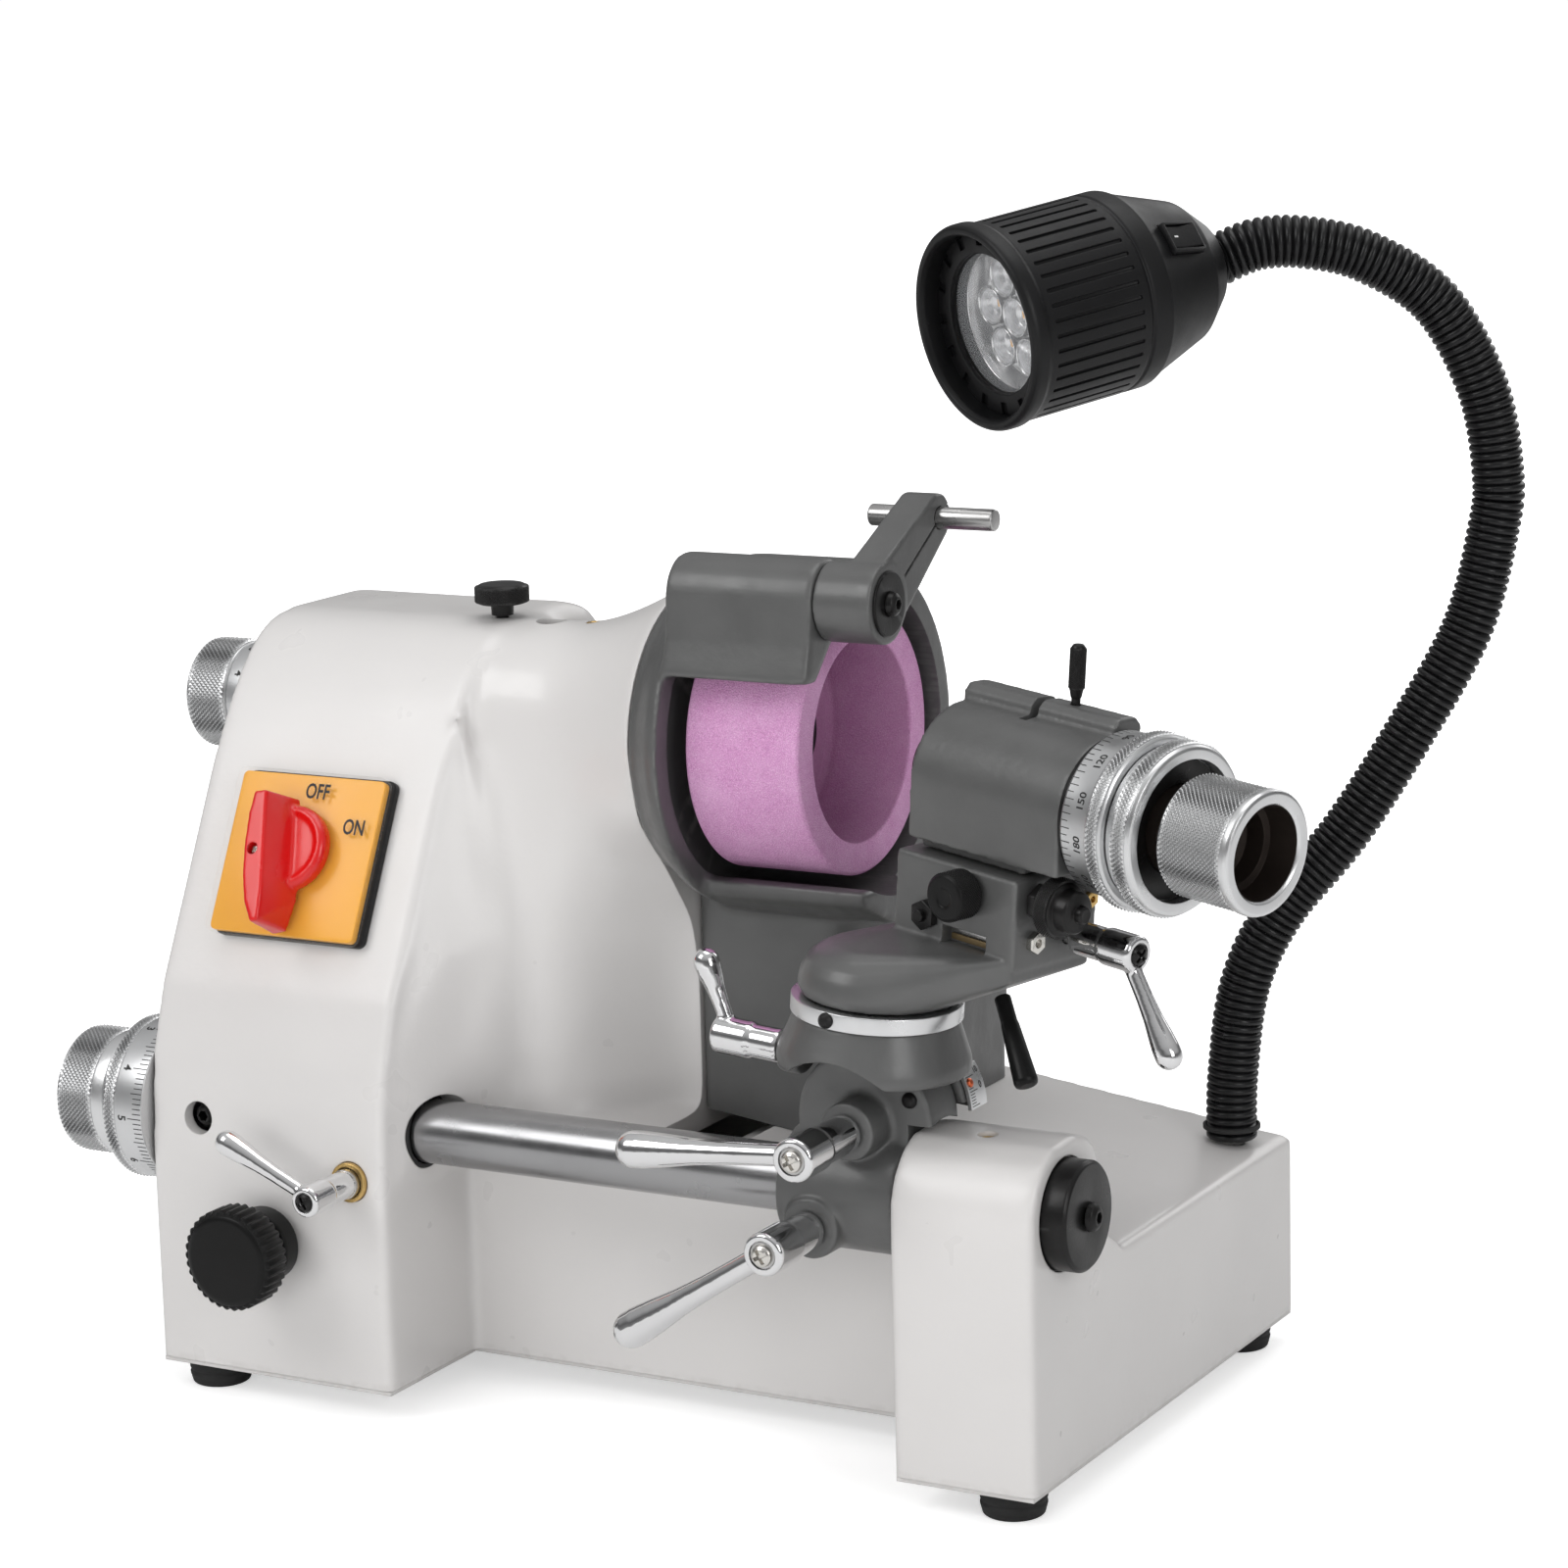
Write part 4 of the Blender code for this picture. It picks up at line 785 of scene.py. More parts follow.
cuts = [
    box("c_bottom", (-220, -150, -30), (220, 150, CAST_Z), None, bevel=0),
    box("c1", (0.0, -140, 95), (30, 140, 330), None, bevel=0),
    prism("hollow_column", [(-108, 6), (-108, 108), (-105.5, 130), (-97, 154), (-62.5, 225), (-50, 246), (-36, 264), (-23, 276), (-10, 280), (34, 280),
                            (46, 276), (54, 268), (58, 256), (65, 203), (104, 148), (108, 140), (108, 6)], "YZ", X0 + 5.5, COLUMN_X - 5.5, None),
    prism("hollow_block", [(-92, 6), (X1 - 6, 6), (X1 - 6, 74), (0, 97), (-92, 97)], "XZ", RECESS_Y + 6, Y1 - 7, None),
    box("hollow_web", (-92, 0, 80), (-9, 44, 176), None, bevel=0),
    box("hollow_pillar", (PILLAR_X + 6, Y0 + 6, 6), (X1 - 6, RECESS_Y + 20, 84), None, bevel=0),
    rod("quill_bore", 27.3, -100, 20, None, SX, 64, r=0),
    rod("bar_bore", 12.4, 128, 190, None, LOW, 96, r=0),
    rod("cap_seat", 20.2, X1 - 2.5, X1 + 3, None, LOW, 96, r=0),
    rod("bar_window", 14.2, -90, -40, None, LOW, 96, r=0),
    rod("dial_low", 8.0, X0 - 3, X0 + 9, None, LOW, 48, r=0),
    rod("dial_up", 7.0, X0 - 3, X0 + 9, None, SX, 48, r=0),
    rod("lock_hole", 2.6, 270, 292, None, Matrix.Translation((-87, SPIN[0], 0)), 32, r=0),
    rod("oil_hole", 6.0, 274, 292, None, Matrix.Translation((-65, SPIN[0], 0)), 48, r=0),
    rod("plug_hole", 3.4, 280, 300, None, Matrix.Translation((-46, SPIN[0], 0)), 32, r=0),
    rod("screw_recess", 6.3, 104, 118, None, along_minus_y(-163, 0, 108), 48, r=0),
    rod("bush_hole", 7.7, 108, 118, None, along_minus_y(-94.3, 0, 91.5), 48, r=0),
    rod("knob_hole", 5.0, 100, 118, None, along_minus_y(-129.5, 0, 65.3), 32, r=0),
    rod("neck_hole", 5.0, 60, 100, None, Matrix.Translation((169.7, 91.4, 0)), 32, r=0),
    rod("oiler_hole", 3.6, 124, 134, None, Matrix.Translation((156, -88, 0)), 32, r=0),
    box("rear_opening", (X0 + 16, Y1 - 12, 26), (COLUMN_X - 14, Y1 + 4, 132), None, bevel=0),
]


def casting_weight(p):
    front = np.interp(p[:, 2], FRONT_Z, FRONT_Y)
    zone = np.clip((p[:, 0] + 92) / 12, 0, 1) * np.clip((30 - p[:, 0]) / 20, 0, 1) * np.clip((p[:, 2] - 84) / 26, 0, 1)
    zone = zone * np.clip((p[:, 1] - front - 2) / 16, 0, 1)
    top = np.clip((p[:, 2] - 262) / 18, 0, 1) * np.clip((-92 - p[:, 0]) / 8, 0, 1) * 0.35
    return np.maximum(np.maximum(zone, 0.12), top)


casting = cast("casting", solids, WHITE, 1.6, 70, cuts, casting_weight)
piece(casting, "base", "base_casting", slot="white_paint")

# filler between the casting and its paint: thread bush, oil plugs, set screws
piece(tube("lock_bush", 7.5, 5.8, 108.4, 115.8, BRASS, along_minus_y(-94.3, 0, 91.5), 64, r=0.5), "base", slot="steel")
socket_screw("recessed_screw", 4.6, 5.5, BLACKENED, along_minus_y(-163, -104.6, 108), "base", 2.2, slot="black_metal")
for i, (x, y, z, r, mat) in enumerate(((156, -88, 126.6, 3.3, BRASS), (-46, SPIN[0], 283.4, 3.1, BRASS))):
    plug = rod(f"oil_plug_{i}", r, 0, 3.4, mat, Matrix.Translation((x, y, z)), 40, r=0.4)
    boolean(plug, [prism("k", [(1.5 * math.cos(math.radians(60 * k)), 1.5 * math.sin(math.radians(60 * k))) for k in range(6)], "XY", 1.4, 6, None,
                         Matrix.Translation((x, y, z)))])
    piece(plug, "base", slot="steel")
piece(rod("oil_cup", 5.6, 1.0, 4.0, BLACKENED, Matrix.Translation((-65, SPIN[0], 276.5)), 48, r=0.8), "base", slot="black_metal")
piece(tube("bar_seal", 14.0, 12.35, -78.5, -76.0, RUBBER, LOW, 96, r=0.3), "base", slot="black_rubber")

for name, sx, sy in (("foot_front_left", -1, -1), ("foot_front_right", 1, -1), ("foot_rear_left", -1, 1), ("foot_rear_right", 1, 1)):
    foot = lathe(name + "_v", [(0, 10.1), (11, 10.1), (12, 8.6), (12, 6.2), (11.5, 5.6), (11.5, 4.9), (12, 4.3), (11.0, 0.5), (10.2, 0), (7, 0), (6, 1.6),
                               (0, 1.6)], RUBBER, Matrix.Translation((sx * (X1 - 16), sy * (Y1 - 16), 0)), 72, r=0.5)
    piece(foot, "base", name, slot="black_rubber")

cover = box("rear_cover_v", (X0 + 10, Y1 + 0.3, 20), (COLUMN_X - 8, Y1 + 1.8, 138), BLACKENED, bevel=0.5)
boolean(cover, [merged("slots", [box("k", (X0 + 24 + 6.4 * i, Y1 - 1, 46), (X0 + 27 + 6.4 * i, Y1 + 3, 78), None, bevel=1.2) for i in range(9)])])
cover.data.materials.clear()
cover.data.materials.append(BLACKENED)
piece(cover, "base", "rear_cover", slot="black_metal")
for i, (x, z) in enumerate(((X0 + 15, 25), (COLUMN_X - 13, 25), (X0 + 15, 133), (COLUMN_X - 13, 133))):
    cross_screw(f"cover_screw_{i}", 3.2, 1.6, ZINC, frame_of((x, Y1 + 1.75, z), (0, 1, 0)), "base", slot="steel")

# ---------------------------------------------------------------- wheel guard
cy, cz = SPIN
shell = [
    lathe("g1", [(0, 70.5), (66, 70.5), (66, 20), (63, 12), (57, 4), (56, 0.3), (0, 0.3)], None, SX, 96, r=0),
    prism("g2", [(0.3, -15), (48, -15)] + arc(48.5, 7, 22, -80, 0, 12) + [(70.5, 100), (66, 104), (0.3, 104)], "XY", 90, 205, None),
    prism("g3", [(48, 250), (59.2, 250), (66, 215), (104, 160), (104, 120), (40, 120)], "YZ", 0.3, 70.5, None),
    prism("g4", [(-38, 199.5), (-36, 194), (-14, 183), (8, 183), (8, 200)], "YZ", 12, 83, None),
]
window = [
    prism("c_trim", [(-90, 199.7), (-38.5, 199.7), (-36.5, 193.8), (-15, 181.5), (-15, 150), (-90, 150)], "YZ", 17, 100, None),
    prism("c_window", [(-90, 279.2), (-56.4, 279.2), (-46, 288), (-20, 262), (-20, 199.6), (-90, 199.6)], "YZ", 17, 100, None),
]
opened = boolean_skin(merged("g", shell), window)
knuckle = rod("g5", 15.0, 16, 76, None, along_x(0, *BOSS), 72, r=0)
apron = prism("g6", [(-60, 307), (-61.6, 293), (-65.2, 279.6), (-56, 279), (-44, 291), (-30, 300), (-16, 306), (-14, 314), (-36, 318)], "YZ", 16.5, 76, None)
guard = cast("guard", [opened, knuckle, apron], GREY, 1.15, 16, [
    rod("wheel_room", 56.0, 12, 90, None, SX, 128, r=0),
    rod("nose_hole", 27.8, -2, 14, None, SX, 96, r=0),
    box("guard_hollow", (8, -5, 88), (60, 92, 178), None, bevel=0),
    prism("deck_cut", [(-4, 60), (90, 60), (90, deck(90, 0.3)), (0, deck(0, 0.3)), (-4, deck(0, 0.3))], "XZ", -60, 130, None),
], weight=lambda p: np.where(p[:, 1] < -22, 0.45, 1.0))
piece(guard, "base", "wheel_guard", slot="grey_paint")

# ---------------------------------------------------------------- spindle and wheel
piece(lathe("wheel", [(49.0, 67.3), (50, 66.3), (50, 21.7), (49, 20.7), (10, 20.7), (10, 32.5), (35.4, 32.5), (37.4, 34.6), (37.9, 38), (37.9, 66.6),
                      (38.5, 67.3)], ABRASIVE, SX, 144, ring=True, r=0.5), "spindle", "grinding_wheel", slot="abrasive")
piece(lathe("flange", [(11.3, 20.4), (21, 20.4), (21, 15), (19.5, 13.2), (11.3, 13.2)], BLACKENED, SX, 96, ring=True), "spindle", "wheel_flange",
      slot="black_metal")
nut = lathe("nut", [(14.6, 40), (17, 38.4), (17, 33), (6.3, 33), (6.3, 40)], BLACKENED, SX, 72, ring=True, r=0.3)
boolean(nut, [merged("k", [rod("k", 1.7, 36.5, 42, None, SX @ Matrix.Translation((11 * math.cos(a), 11 * math.sin(a), 0)), 24, r=0)
                           for a in (0.4, 1.97, 3.54, 5.11)])])
piece(nut, "spindle", "wheel_nut", slot="black_metal")
piece(lathe("shaft", [(0, 41.2), (1.6, 43.4), (2.2, 44), (5.4, 44), (6, 43.4), (6, 32.7), (9.6, 32.7), (9.6, 20.5), (11, 20.5), (11, 13), (8, 13), (8, -113.5),
                      (0, -113.5)], BLACKENED, SX, 64, r=0.2), "spindle", "spindle_shaft", slot="steel")

# ---------------------------------------------------------------- feed dials, bar
piece(lathe("upper_knob_core", [(0, -118), (6, -118), (6, -204.2), (19.4, -204.2), (20.6, -204.9), (20.6, -205.6), (20.2, -205.6), (20.2, -221.6), (21.2, -221.6),
                                (19.9, -223.4), (9.5, -223.4), (8.5, -222.0), (0, -222.0)], SILVER, SX, 144, r=0.25), "upper_dial", "upper_feed_knob",
      slot="aluminium")
piece(knurl("upper_knob_knurl", 21.8, -222.2, -205.2, KNURL, SX, 2.0, 0.85), "upper_dial", slot="aluminium")
piece(tube("upper_scale", 20.6, 6.4, -203.9, -185.3, RING, SX, 144, r=0.4), "upper_dial", "upper_feed_scale", slot="aluminium")
marks = [("tick", i * 7.2 + 3, -190.5 if i % 5 else -193.5, -186.0, 0.34) for i in range(50)]
marks += [("text", str(i), 4.8, i * 36 + 3, -199.6, 0) for i in range(10)]
piece(ring_marks("upper_scale_marks", marks, INK, SX, lambda h: 20.6), "upper_dial", slot="black_metal")

piece(lathe("lower_knob_core", [(0, -158), (7, -158), (7, -208.6), (22.6, -208.6), (23.8, -209.4), (24.0, -214.4), (23.0, -215.4), (22.9, -230.4), (23.5, -230.6),
                                (22.4, -231.6), (10, -231.6), (9, -230.2), (0, -230.2)], SILVER, LOW, 160, r=0.25), "lower_dial", "lower_feed_knob", slot="aluminium")
piece(knurl("lower_knob_knurl", 24.5, -230.8, -215.0, KNURL, LOW, 2.0, 0.85), "lower_dial", slot="aluminium")
piece(lathe("lower_scale", [(30.7, -185.3), (31.0, -185.8), (31.0, -197.9), (30.2, -198.6), (30.2, -203.0), (26.4, -204.2), (25.2, -205.2), (24.6, -208.2), (7.4, -208.2),
                            (7.4, -185.3)], RING, LOW, 160, ring=True, r=0.3), "lower_dial", "lower_feed_scale", slot="aluminium")
piece(knurl("lower_scale_knurl", 31.5, -203.4, -198.2, KNURL, LOW, 1.9, 0.7), "lower_dial", slot="aluminium")
marks = [("tick", i * 3.6 + 1, -189.4 if i % 5 else (-190.6 if i % 10 else -191.8), -185.6, 0.34) for i in range(100)]
marks += [("text", str(i), 4.8, i * 36 + 1, -194.6, 0) for i in range(10)]
piece(ring_marks("lower_scale_marks", marks, INK, LOW, lambda h: 31.0), "lower_dial", slot="black_metal")

bar = rod("bar", 12.0, -135, 164, BAR_STEEL, LOW, 144, r=1.2)
boolean(bar, [rod("k", 2.0, 9, 16, None, Matrix.Translation((34, BAR[0], BAR[1])) @ frame_of((0, 0, 0), (0, -0.94, 0.34)), 40, r=0)])
bar.data.set_sharp_from_angle(angle=math.radians(35))
piece(bar, "bar", "slide_bar", slot="chrome")
cap = lathe("end_cap", [(3.3, 194.2), (18.3, 194.2), (19.5, 193), (19.5, 182.8), (3.3, 182.8)], BLACKENED, LOW, 128, ring=True, r=0.4)
piece(cap, "base", "bar_end_cap", slot="black_metal")
endscrew = lathe("end_screw", [(0, 198.0), (3.0, 198.0), (4.6, 197.0), (5.4, 194.8), (3.0, 194.6), (3.0, 189), (0, 189)], BLACKENED, LOW, 64, r=0.4)
boolean(endscrew, [prism("k", [(2.2 * math.cos(math.radians(60 * k)), 2.2 * math.sin(math.radians(60 * k))) for k in range(6)], "XY", 195.6, 200, None, LOW)])
endscrew.data.set_sharp_from_angle(angle=math.radians(35))
piece(endscrew, "base", "bar_end_screw", slot="black_metal")

# ---------------------------------------------------------------- levers


def clamp(name, node, body, base, hub_dir, hub_len, hub_r, handle_to, ball_r, stud=3.0, stud_len=0.0, screw=True, neck=0.6, mat=None, foot=None):
    """Hub, tapered handle with a rounded end, and the screw that holds it."""
    mat = mat or CHROME
    u = Vector(hub_dir).normalized()
    base = Vector(base)
    start = base + u * (hub_len - hub_r * 0.95)
    end = Vector(handle_to)
    reach = (end - start).length
    where = frame_of(base, u)
    prof = [(0, hub_len), (hub_r - 0.9, hub_len), (hub_r, hub_len - 1.0), (hub_r, hub_len - 2.1 * hub_r), (hub_r * 0.90, hub_len - 2.25 * hub_r),
            (hub_r * 0.90, 1.4), (hub_r * 0.84, 0.2), (0, 0.2)]
    hub = lathe("h", prof, None, where, 64, r=0)
    way = [(0.0, 0.62), (0.10, 0.60), (0.25, neck), (0.45, neck * 1.04), (0.65, neck * 1.2), (0.82, 0.9), (0.94, 0.995)]
    chain = [(ball_r * k, reach * t) for t, k in way] + [(ball_r * math.cos(math.radians(a)), reach + ball_r * math.sin(math.radians(a))) for a in (8, 30, 50, 70)]
    chain = [(0, reach + ball_r)] + list(reversed(chain)) + [(0, 0)]
    handle = lathe("h2", chain, None, frame_of(start, end - start), 64, r=0)
    lever = cast(name, [hub, handle], mat, 0.42, 7, [rod("k", hub_r * 0.66, hub_len - 1.6, hub_len + 4, None, where, 64, r=0)] if screw else [], smooth=50)
    piece(lever, body, node, slot="chrome")
    if stud_len:
        piece(rod(name + "_stud", stud, -stud_len, 2, BLACKENED if foot is None else foot, where, 40, r=0.3), body, slot="steel")
    if screw:
        w = where @ Matrix.Translation((0, 0, hub_len - 1.5))
        piece(tube(name + "_washer", hub_r * 0.62, 2.0, 0, 1.1, STEEL, w, 48, r=0.2), body, slot="steel")
        if screw == "black":
            cross_screw(name + "_screw", hub_r * 0.62, 2.2, BLACKENED, w @ Matrix.Translation((0, 0, 0.3)), body, slot="black_metal")
        elif screw == "hex":
            socket_screw(name + "_screw", hub_r * 0.5, 2.4, BLACKENED, w @ Matrix.Translation((0, 0, 0.6)), body, slot="black_metal")
        else:
            cross_screw(name + "_screw", hub_r * 0.52, 2.6, ZINC, w @ Matrix.Translation((0, 0, 1.0)), body, slot="steel")
    return where


clamp("bar_lock", "bar_lock_lever", "bar_lock", (-94.3, -116.6, 91.5), (0, -1, 0), 27, 5.9, (-130.0, -139.5, 109.0), 4.8, 5.6, 6, screw="black", foot=STEEL)
clamp("upper_clamp", "upper_clamp_lever", "upper_clamp", (TX, -111.6, TZ), (0, -1, 0), 38.0, 7.8, (46.5, -143.0, 128.0), 6.6, 3.9, 5)
clamp("lower_clamp", "lower_clamp_lever", "lower_clamp", (98, -113.1, 97), (0, -1, 0), 33.0, 7.8, (41.0, -139.5, 61.0), 6.8, 3.9, 5)
clamp("swivel_lock", "swivel_lock_lever", "swivel_lock", in_cone((-37, 2, 19)), CONE_M.to_3x3() @ Vector((-1, 0, 0)), 27.0, 6.8, (46.5, -89.5, 183.0), 4.8, 3.1, 6,
      screw="hex", foot=BLACKENED)
clamp("slide_lock", "slide_lock_lever", "slide_lock", in_head((-80, 0, -47)), HEAD_M.to_3x3() @ Vector((1, 0, 0)), 28.0, 6.6, in_head((-35.5, -1.5, -78)), 4.8,
      3.2, 9, screw="black", foot=STEEL)

# column knob: moulded, fluted rim with a flat face
KN = along_minus_y(-129.5, Y0, 65.3)
piece(lathe("column_knob_core", [(0, 31), (15.6, 31), (17.2, 30.4), (17.6, 29.4), (17.6, 18.6), (16.2, 17.5), (11, 17), (10.8, 12.6), (13.4, 12.2), (14.2, 11.4), (14.2, 4.4),
                                 (13.4, 3.4), (4.6, 3), (4.6, -9), (0, -9)], KNOB_BLACK, KN, 128, r=0.6), "column_lock", "column_knob", slot="black_plastic")
piece(knurl("column_knob_grip", 19.2, 17.9, 30.2, KNOB_BLACK, KN, depth=0.9, inner=3.0, flute=34), "column_lock", slot="black_plastic")

LK = Matrix.Translation((-87, SPIN[0], 0))
piece(lathe("quill_lock_core", [(0, 299.4), (8.2, 299.4), (9.6, 298.6), (9.8, 298.2), (9.8, 292.6), (8.8, 291.8), (4.4, 291.6), (4.2, 287.4), (2.3, 287), (2.3, 277),
                                (0, 277)], BLACKENED, LK, 96, r=0.3), "quill_lock", "quill_lock_screw", slot="black_metal")
piece(knurl("quill_lock_knurl", 10.5, 292.4, 298.5, BLACKENED, LK, 1.05, 0.35, inner=1.2), "quill_lock", slot="black_metal")

# ---------------------------------------------------------------- isolator switch
lean = Vector((0, 38.0, 76.5)).normalized()
face_n = Vector((0, -lean.z, lean.y))
SW = Matrix(((1, 0, 0), tuple(lean), tuple(face_n))).transposed().to_4x4()
SW.translation = Vector((-130.0, -78.9, 204.6)) - lean * 1.6


def rounded(x0, y0, x1, y1, r, n=6):
    out = []
    for cx, cyy, a in ((x1 - r, y1 - r, 0), (x0 + r, y1 - r, 90), (x0 + r, y0 + r, 180), (x1 - r, y0 + r, 270)):
        out += arc(cx, cyy, r, a, a + 90, n)
    return out


piece(prism("switch_base", rounded(-33, -32, 33.5, 32, 3), "XY", 0.4, 3.7, PLASTIC, SW, bevel=0.5), "base", "switch_box", slot="black_plastic")
piece(prism("switch_yellow", rounded(-33.2, -31.2, 31.2, 30.8, 2.2), "XY", 3.8, 7.0, YELLOW, SW, bevel=0.3), "base", slot="yellow_plastic")
piece(prism("switch_cover", rounded(-34.5, -32.5, 32.5, 32, 3.4), "XY", 3.7, 9.4, CLEAR, SW, bevel=0.9, segments=4), "base", "switch_plate",
      slot="clear_lens")
piece(flat_marks("switch_marks", [("text", "OFF", 8.2, 3.6, 24.0, 0, 0.74), ("text", "ON", 8.2, 23.0, 11.6, 0, 0.74)], INK, SW @ Matrix.Translation((0, 0, 9.4)), 0.12),
      "base", slot="black_plastic")
KNOB = SW @ Matrix.Translation((-1, 1.2, 0))
disc = lathe("k1", [(0, 15.0), (12.4, 15.0), (13.2, 15.8), (14.6, 15.8), (16.0, 14.4), (16.4, 13), (16.4, 9.9), (0, 9.9)], None, KNOB, 96, r=0.3)
grip_at = SW @ Matrix.Translation((-4, -5.9, 0)) @ Matrix.Rotation(math.radians(11.5), 4, "Z")
ridge = [(-2.4, 25.2), (-4.6, 17), (-5.9, 5), (-6.1, -6), (-5.0, -17), (-2.0, -25.2), (1.2, -24.8), (2.2, -14), (2.2, 2), (2.2, 16), (2.6, 25.2)]
root = [(-3.6, 25.6), (-6.2, 17), (-7.0, 5), (-7.0, -6), (-6.0, -17), (-2.6, -25.8), (3.4, -25.4), (7.2, -14), (8.6, 2), (8.4, 16), (6.6, 25.6)]
grip = hull("k2", [grip_at @ Vector((x, y, 28.0)) for x, y in ridge] + [grip_at @ Vector((x, y, 10.4)) for x, y in root], None)
red = cast("switch_knob", [disc, grip], RED, 0.5, 8, [rod("k", 2.3, 15, 40, None, grip_at @ Matrix.Translation((-2.2, 3.0, 0)), 32, r=0)], smooth=50)
piece(red, "switch", "switch_handle", slot="red_plastic")
cross_screw("switch_knob_screw", 2.1, 1.4, ZINC, grip_at @ Matrix.Translation((-2.2, 3.0, 24.6)), "switch", slot="steel")

# ---------------------------------------------------------------- bracket on the bar
piece(tube("bush", 15.0, 12.3, 85, 127, STEEL, LOW, 128, r=0.6), "carriage", "bar_bush", slot="steel")
saddle = prism("b2", [(83.5, 98), (128.5, 98), (128.5, 112), (133, 123), (130, 139), (96, 141), (90, 136), (83.7, 127)], "XZ", -95.1, -77.3, None)
bracket = cast("bracket", [
    rod("b0", 22.0, 83, 129, None, LOW, 96, r=0),
    rod("b1", 26.5, 76.2, 97, None, along_minus_y(TX, 0, TZ), 96, r=0),
    saddle,
    rod("b3", 11.0, 95, 112.5, None, along_minus_y(98, 0, 97), 64, r=0),
    rod("b4", 10.5, 93, 111, None, along_minus_y(TX, 0, TZ), 64, r=0),
], GREY, 0.75, 10, [
    rod("k", 28.8, 129.6, 150, None, LOW, 96, r=0),
    rod("k", 4.2, 106, 116, None, along_minus_y(98, 0, 97), 40, r=0),
    rod("k", 4.2, 104, 116, None, along_minus_y(TX, 0, TZ), 40, r=0),
    rod("k", 15.4, 80, 131, None, LOW, 128, r=0),
])
piece(bracket, "bracket", "swing_bracket", slot="grey_paint")
piece(lathe("bracket_rivet", [(0, 2.2), (1.6, 2.0), (2.7, 1.0), (3.0, 0), (0, 0)], BLACKENED, along_minus_y(TX + 18, -97.0, TZ + 10), 40, r=0.3), "bracket",
      slot="black_metal")

# ---------------------------------------------------------------- tilting cone and swivel arm
ear_at = CONE_M @ frame_of((0, 2, 19), (1, 0, 0), (0, 1, 0))
cone = cast("cone", [
    lathe("c0", [(0, 39.3), (29.0, 39.3), (29.2, 38), (34, 25.0), (34.4, 21), (31, 20), (0, 20)], None, CONE_M, 128, r=0),
    rod("c1", 28.5, 58, 65.8, None, along_minus_y(TX, 0, TZ), 96, r=0),
    prism("c2", arc(0, 0, 28.5, 13, 167, 40), "XZ", 16.8, 31, None, CONE_M),
    box("c3", (-20, 16.8, 6.4), (20, 30, 30), None, CONE_M, bevel=0),
    rod("c4", 8.5, -36, -27.5, None, ear_at, 64, r=0),
    box("c5", (-36, -6, 18), (-26, 10, 27), None, CONE_M, bevel=0),
], GREY, 0.75, 8, [
    rod("k", 28.2, 75.6, 130, None, along_minus_y(TX, 0, TZ), 96, r=0),
    box("k", (9, 10, -40), (40, 40, 3), None, CONE_M, bevel=0),
    rod("k", 3.4, -40, -29, None, ear_at, 40, r=0),
])
piece(cone, "cone", "swivel_cone", slot="grey_paint")
piece(rod("cone_post", 10.6, 36, 53, STEEL, CONE_M, 64, r=0.6), "cone", slot="steel")
plate = prism("tilt_scale", arc(0, 0, 30.2, 8, 38, 20) + arc(0, 0, 28.8, 38, 8, 20), "XZ", 18.5, 30.5, SILVER, CONE_M)
piece(plate, "cone", "angle_scale", slot="aluminium")
TILT_AX = CONE_M @ frame_of((0, 0, 0), (0, 1, 0), (1, 0, 0))
tilt_marks = [("tick", -(10 + 2 * i), 19.4, 22.6 if i % 5 else 25.0, 0.3) for i in range(14)] + [("text", "0", 3.6, -22, 27.6, 90), ("text", "10", 3.2, -32.5, 27.6, 90)]
piece(ring_marks("tilt_scale_marks", tilt_marks, INK, TILT_AX, lambda h: 30.2), "cone", slot="black_metal")
piece(lathe("tilt_scale_rivet", [(0, 1.1), (1.0, 1.0), (1.7, 0.4), (1.8, 0), (0, 0)], COPPER,
            TILT_AX @ frame_of((30.1 * math.cos(math.radians(-26)), 30.1 * math.sin(math.radians(-26)), 21.2),
                               (math.cos(math.radians(-26)), math.sin(math.radians(-26)), 0)), 32, r=0.2), "cone", slot="steel")
piece(tube("turn_ring", 30.2, 12.0, 39.3, 45.2, SILVER, CONE_M, 160, r=0.35), "cone", "swivel_ring", slot="aluminium")
marks = [("tick", i * 5, 40.0, 42.0 if i % 6 else 43.4, 0.3) for i in range(3, 34)]
piece(ring_marks("turn_ring_marks", marks, INK, CONE_M, lambda h: 30.2), "cone", slot="black_metal")

arm_points = []
for r, h in ((26.5, 45.6), (28.2, 49), (27.9, 52), (27.2, 55), (25.2, 58.6), (22, 61.5), (17.5, 63.8), (12, 65)):
    arm_points += [in_cone((r * math.cos(t * math.tau / 64), r * math.sin(t * math.tau / 64), h)) for t in range(64)]
arm_points += [in_head((s, b, n)) for s in (-138, -85) for b in (-27, 12) for n in (-60, -52)]
arm = cast("arm", [hull("a0", arm_points, None), box("a1", (-140, -28, -56), (-84, 14, -24), None, HEAD_M, bevel=0.8)], GREY, 0.75, 5, [
    box("k", (-117, -32, -52.5), (-96.5, -23, -46), None, HEAD_M, bevel=0),
    rod("k", 3.6, -6, 9, None, HEAD_M @ frame_of((-107, -10, -64), (-0.62, 0.25, 0.74)), 40, r=0),
    rod("k", 3.2, 26, 40, None, HEAD_M @ frame_of((-105.5, 8, -32), (0, -1, 0)), 40, r=0),
    rod("k", 3.2, -100, -80, None, head_axis(0, -18, -32), 40, r=0),
    rod("k", 3.6, -100, -80, None, head_axis(0, 0, -47), 40, r=0),
    rod("k", 11.0, 43, 56, None, CONE_M, 64, r=0),
])
piece(arm, "arm", "swivel_arm", slot="grey_paint")
